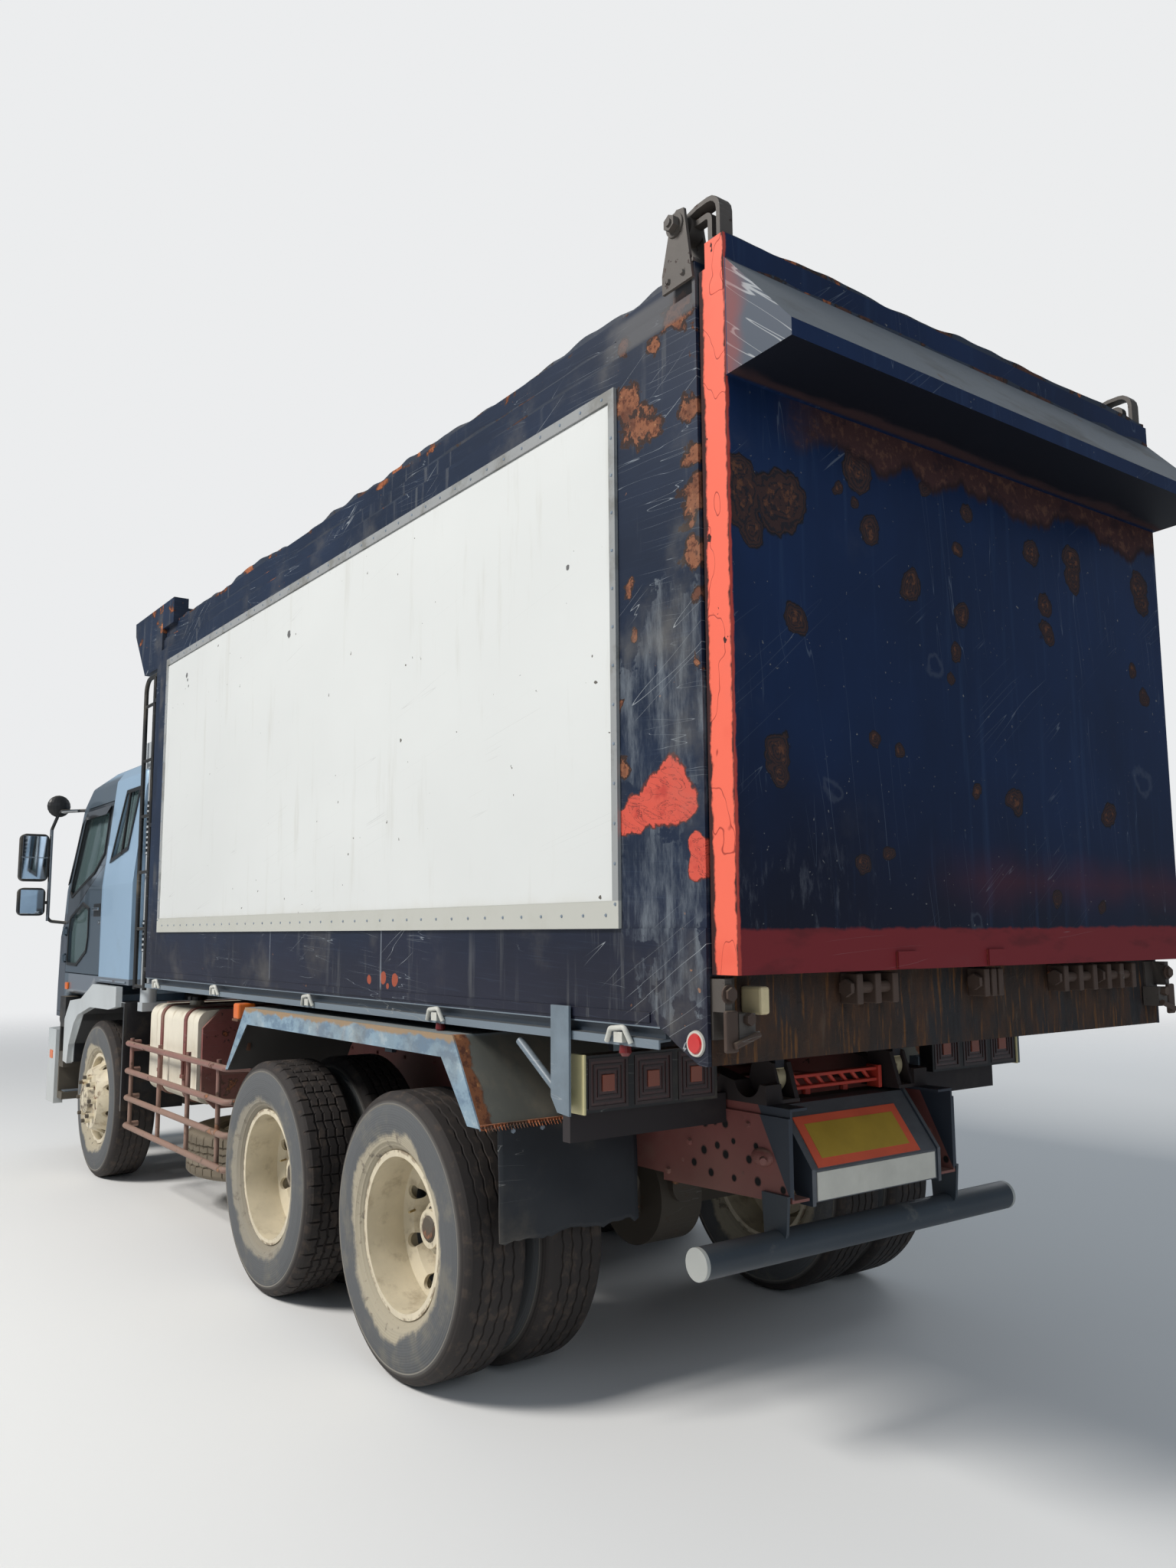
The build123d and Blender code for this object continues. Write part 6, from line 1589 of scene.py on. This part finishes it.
# %% Wheel nuts and valves
STUD_CIRCLE_R = 0.1425


def nut_circle(mesh, x, y, s, ring, height, radius, sides, first=0.0):
    """Eight heads in a circle round the axle at x, pointing outwards from the sideways place y."""
    for k in range(8):
        a = math.radians(45 * k + first)
        foot = Vector((x + ring * math.cos(a), s * y, WHEEL_HEIGHT + ring * math.sin(a)))
        rod(mesh, foot, foot + Vector((0, s * height, 0)), radius, sides)


def valve(name, body, x, s, start, end, z):
    """A thin brass tube; start and end are its places ahead of the axle and sideways."""
    mesh = bmesh.new()
    rod(mesh, (x + start[0], s * start[1], z), (x + end[0], s * end[1], z), 0.005, 8)
    piece(name, mesh, body, brass)


for axle in ("mid", "rear"):
    x = AXLES[axle]
    for side, s in SIDES:
        mesh = bmesh.new()
        nut_circle(mesh, x, 0.970, s, STUD_CIRCLE_R, 0.026, 0.0125, 8)
        nut_circle(mesh, x, 1.044, s, 0.070, 0.012, 0.010, 6, 22.5)
        rod(mesh, (x, s * 1.074, WHEEL_HEIGHT), (x, s * 1.082, WHEEL_HEIGHT), 0.050, 20, 0.040)
        piece(f"{axle}_{side}_studs", mesh, f"{axle}_{side}_wheels", dark_steel)
        valve(f"{axle}_{side}_valve", f"{axle}_{side}_wheels", x, s, (0.228, 1.010), (0.205, 1.050),
              WHEEL_HEIGHT + 0.02)
for side, s in SIDES:
    mesh = bmesh.new()
    nut_circle(mesh, AXLES["front"], 1.219, s, STUD_CIRCLE_R, 0.022, 0.0125, 8)
    piece(f"front_{side}_studs", mesh, f"front_{side}_wheel", dark_steel)
    valve(f"front_{side}_valve", f"front_{side}_wheel", AXLES["front"], s, (0.200, 1.150), (0.178, 1.190),
          WHEEL_HEIGHT)
print("wheel nuts and valves")

# %% [markdown]
# ## Window rubbers
# The cab's upper side leans in, so a helper gives the sideways place of its skin at each height.
# A rubber is a flat ring inside the window's outline, pushed out a little.

# %% Window rubbers
def skin(z):
    """How far out the cab's side is at height z."""
    return 1.150 if z < 1.95 else 1.150 - (z - 1.95) * 0.075 / 0.74


def side_rings(name, outlines, body, width):
    """Rubbers round windows in the cab's sides. An outline is a list of (x, z) points."""
    for side, s in SIDES:
        mesh = bmesh.new()
        for outline, only_left in outlines:
            if s > 0 or not only_left:
                flat_ring(mesh, [(x, s * (skin(z) + 0.0015), z) for x, z in outline], width)
        bmesh.ops.recalc_face_normals(mesh, faces=mesh.faces)
        push_out(mesh, mesh.faces[:], (0, s * 0.006, 0))
        piece(f"{name}_{side}", mesh, body.format(side), black_trim)


DOOR_WINDOW = [(2.742, 2.180), (2.946, 2.050), (3.545, 1.888), (3.592, 1.932), (3.437, 2.446),
               (3.388, 2.500), (2.745, 2.500)]
LOW_WINDOW = [(3.010, 1.596), (3.052, 1.490), (3.328, 1.385), (3.610, 1.390), (3.610, 1.642),
              (3.556, 1.750), (3.200, 1.850), (3.010, 1.806)]
QUARTER = [(2.048, 2.600), (2.154, 2.175), (2.568, 2.106), (2.382, 2.600)]
side_rings("door_rubber", [(DOOR_WINDOW, False), (LOW_WINDOW, True)], "door_{}", 0.020)
side_rings("quarter_rubber", [(QUARTER, False)], "cab", 0.026)
print("window rubbers")

# %% [markdown]
# ## Door fittings
# The smoked wind deflector over the door window is a ribbon between two lines of points. Below it
# sit the handle in its cup and the lock. The quarter window behind the door gets an upright bar.

# %% Door fittings
for side, s in SIDES:
    mesh = bmesh.new()
    upper = [(2.730, 2.530), (3.395, 2.530), (3.462, 2.470), (3.530, 2.250), (3.600, 2.010)]
    lower = [(2.730, 2.462), (3.360, 2.462), (3.402, 2.428), (3.462, 2.230), (3.548, 1.985)]
    strip(mesh, [(x, s * (skin(z) + 0.010), z) for x, z in upper],
          [(x, s * (skin(z) + 0.038), z) for x, z in lower], 0.003)
    piece(f"wind_deflector_{side}", mesh, f"door_{side}",
          plain(f"smoked_{side}", (40, 38, 38), 0.15, 0.0, 0.5, 0.2))
    mesh = bmesh.new()
    block(mesh, (2.715, s * 1.1485, 1.742), (2.890, s * 1.1535, 1.832), 0.002)
    piece(f"handle_cup_{side}", mesh, f"door_{side}", black_trim)
    mesh = bmesh.new()
    block(mesh, (2.728, s * 1.156, 1.784), (2.872, s * 1.170, 1.806), 0.004)
    block(mesh, (2.728, s * 1.150, 1.786), (2.744, s * 1.160, 1.804), 0.002)
    block(mesh, (2.856, s * 1.150, 1.786), (2.872, s * 1.160, 1.804), 0.002)
    rod(mesh, (2.735, s * 1.151, 1.700), (2.735, s * 1.158, 1.700), 0.014, 16)
    piece(f"handle_{side}", mesh, f"door_{side}", chrome)
mesh = bmesh.new()
pair(rod, mesh, (2.292, skin(2.15) + 0.003, 2.150), (2.292, skin(2.585) + 0.003, 2.585), 0.010, 6)
piece("slider_bars", mesh, "cab", black_trim)
print("door fittings")

# %% [markdown]
# ## Mirrors
# Each mirror housing gets two silver faces that look backwards, and bright stays. A small round
# mirror stands on the left stay.

# %% Mirrors
mesh = bmesh.new()
trim = bmesh.new()
pair(block, mesh, (3.7365, 1.304, 2.036), (3.741, 1.476, 2.364), 0.002)
pair(block, mesh, (3.7365, 1.314, 1.774), (3.741, 1.476, 1.956), 0.002)
pair(block, trim, (3.735, 1.296, 2.196), (3.738, 1.484, 2.204))
pair(rod, trim, (3.775, 1.270, 2.420), (3.775, 1.270, 1.720), 0.0128, 12)
pair(rod, trim, (3.560, 1.130, 2.556), (3.700, 1.216, 2.556), 0.0128, 12)
piece("mirror_faces", mesh, "cab", mirror_glass)
piece("mirror_stays_bright", trim, "cab", chrome)
mesh = bmesh.new()
ball = bmesh.ops.create_uvsphere(mesh, u_segments=20, v_segments=10, radius=0.085)["verts"]
bmesh.ops.scale(mesh, vec=(0.45, 1.0, 1.0), verts=ball)
bmesh.ops.translate(mesh, vec=(3.740, 1.235, 2.600), verts=ball)
rod(mesh, (3.720, 1.225, 2.556), (3.738, 1.235, 2.600), 0.010, 8)
piece("wing_mirror", mesh, "cab", black_trim)
print("mirrors")

# %% [markdown]
# ## Wipers and windscreen rubber
# The windscreen is one slanting plane. `glass_out` points away from it and `glass_down` along it,
# and the three wipers and the rubber are placed with these two directions.

# %% Wipers and windscreen rubber
GLASS_FOOT = Vector((3.765, 0, 1.720))
GLASS_TOP = Vector((3.530, 0, 2.610))
glass_down = (GLASS_FOOT - GLASS_TOP).normalized()
glass_out = Vector((-glass_down.z, 0, glass_down.x))
mesh = bmesh.new()
for y0, y1 in ((-0.95, -0.38), (-0.30, 0.27), (0.36, 0.93)):
    foot = Vector((3.760, y0 + 0.42, 1.745)) + glass_out * 0.020
    tip_a = Vector((3.760, y0, 1.775)) + glass_out * 0.012 - glass_down * 0.06
    tip_b = Vector((3.760, y1, 1.775)) + glass_out * 0.012 - glass_down * 0.14
    rod(mesh, tip_a, tip_b, 0.007, 6)
    rod(mesh, foot, (tip_a + tip_b) / 2 + glass_out * 0.010, 0.008, 8)
    rod(mesh, foot - glass_out * 0.020, foot + glass_out * 0.012, 0.018, 12)
piece("wipers", mesh, "cab", black_trim)
corners = []
for y, z in ((-1.022, 1.786), (1.022, 1.786), (0.957, 2.584), (-0.957, 2.584)):
    x = GLASS_FOOT.x - (z - GLASS_FOOT.z) * (GLASS_FOOT.x - GLASS_TOP.x) / (GLASS_TOP.z - GLASS_FOOT.z)
    corners.append(Vector((x, y, z)) + glass_out * 0.001)
mesh = bmesh.new()
flat_ring(mesh, corners, 0.034)
push_out(mesh, mesh.faces[:], glass_out * 0.007)
piece("screen_rubber", mesh, "cab", black_trim)
print("wipers and windscreen rubber")

# %% [markdown]
# ## Front lamps
# Behind each clear lamp glass sit two cone-shaped bowls with a bulb, inside a black frame. Amber
# flashers stand beside them and on the cab's sides.

# %% Front lamps
mesh = bmesh.new()
pair(block, mesh, (3.520, 1.1495, 1.210), (3.590, 1.166, 1.262), 0.006)
piece("cab_side_flashers", mesh, "cab", amber)

bowls = bmesh.new()
bulbs = bmesh.new()
surround = bmesh.new()
flashers = bmesh.new()
for s in (1, -1):
    for y in (0.770, 0.898):
        place = Matrix.Translation((3.903, s * y, 0.710)) @ Matrix.Rotation(math.radians(90), 4, "Y")
        bmesh.ops.create_cone(bowls, cap_ends=False, segments=28, radius1=0.022, radius2=0.058,
                              depth=0.028, matrix=place)
        rod(bulbs, (3.889, s * y, 0.710), (3.908, s * y, 0.710), 0.012, 14, 0.009)
pair(block, flashers, (3.890, 0.955, 0.632), (3.9235, 0.978, 0.788), 0.003)
pair(block, flashers, (3.640, 1.2135, 0.700), (3.720, 1.2205, 0.760), 0.003)
for y0, y1, z0, z1 in ((0.701, 0.979, 0.792, 0.799), (0.701, 0.979, 0.621, 0.628),
                       (0.701, 0.708, 0.628, 0.792), (0.972, 0.979, 0.628, 0.792)):
    pair(block, surround, (3.9225, y0, z0), (3.9440, y1, z1))
bmesh.ops.solidify(bowls, geom=bowls.faces[:], thickness=0.0015)
piece("lamp_bowls", bowls, "chassis", chrome)
piece("lamp_bulbs", bulbs, "chassis",
      plain("bulb_glass", (226, 226, 216), 0.1, 0.0, 0.5, 0.0))
piece("lamp_surrounds", surround, "chassis", black_trim)
piece("bumper_flashers", flashers, "chassis", amber)
print("front lamps")

# %% [markdown]
# ## Grille mesh and step treads
# The grille's slots are backed by fine upright bars, and the steps get rows of raised ribs.

# %% Grille and steps
mesh = bmesh.new()
for k in range(6):
    z = 1.070 + 0.062 * k
    block(mesh, (3.851, -0.636, z + 0.002), (3.856, 0.636, z + 0.038))
    for j in range(25):
        y = -0.624 + 0.052 * j
        block(mesh, (3.855, y - 0.002, z + 0.002), (3.866, y + 0.002, z + 0.038))
piece("grille_mesh", mesh, "cab", black_trim)
mesh = bmesh.new()
for z in (0.765, 0.475):
    for k in range(7):
        x = 3.432 + 0.014 * k
        pair(block, mesh, (x, 0.93, z - 0.002), (x + 0.006, 1.17, z + 0.004))
pair(block, mesh, (2.010, 1.151, 1.300), (2.640, 1.158, 1.312), 0.002)
piece("step_treads", mesh, "chassis", galvanised)
print("grille and steps")
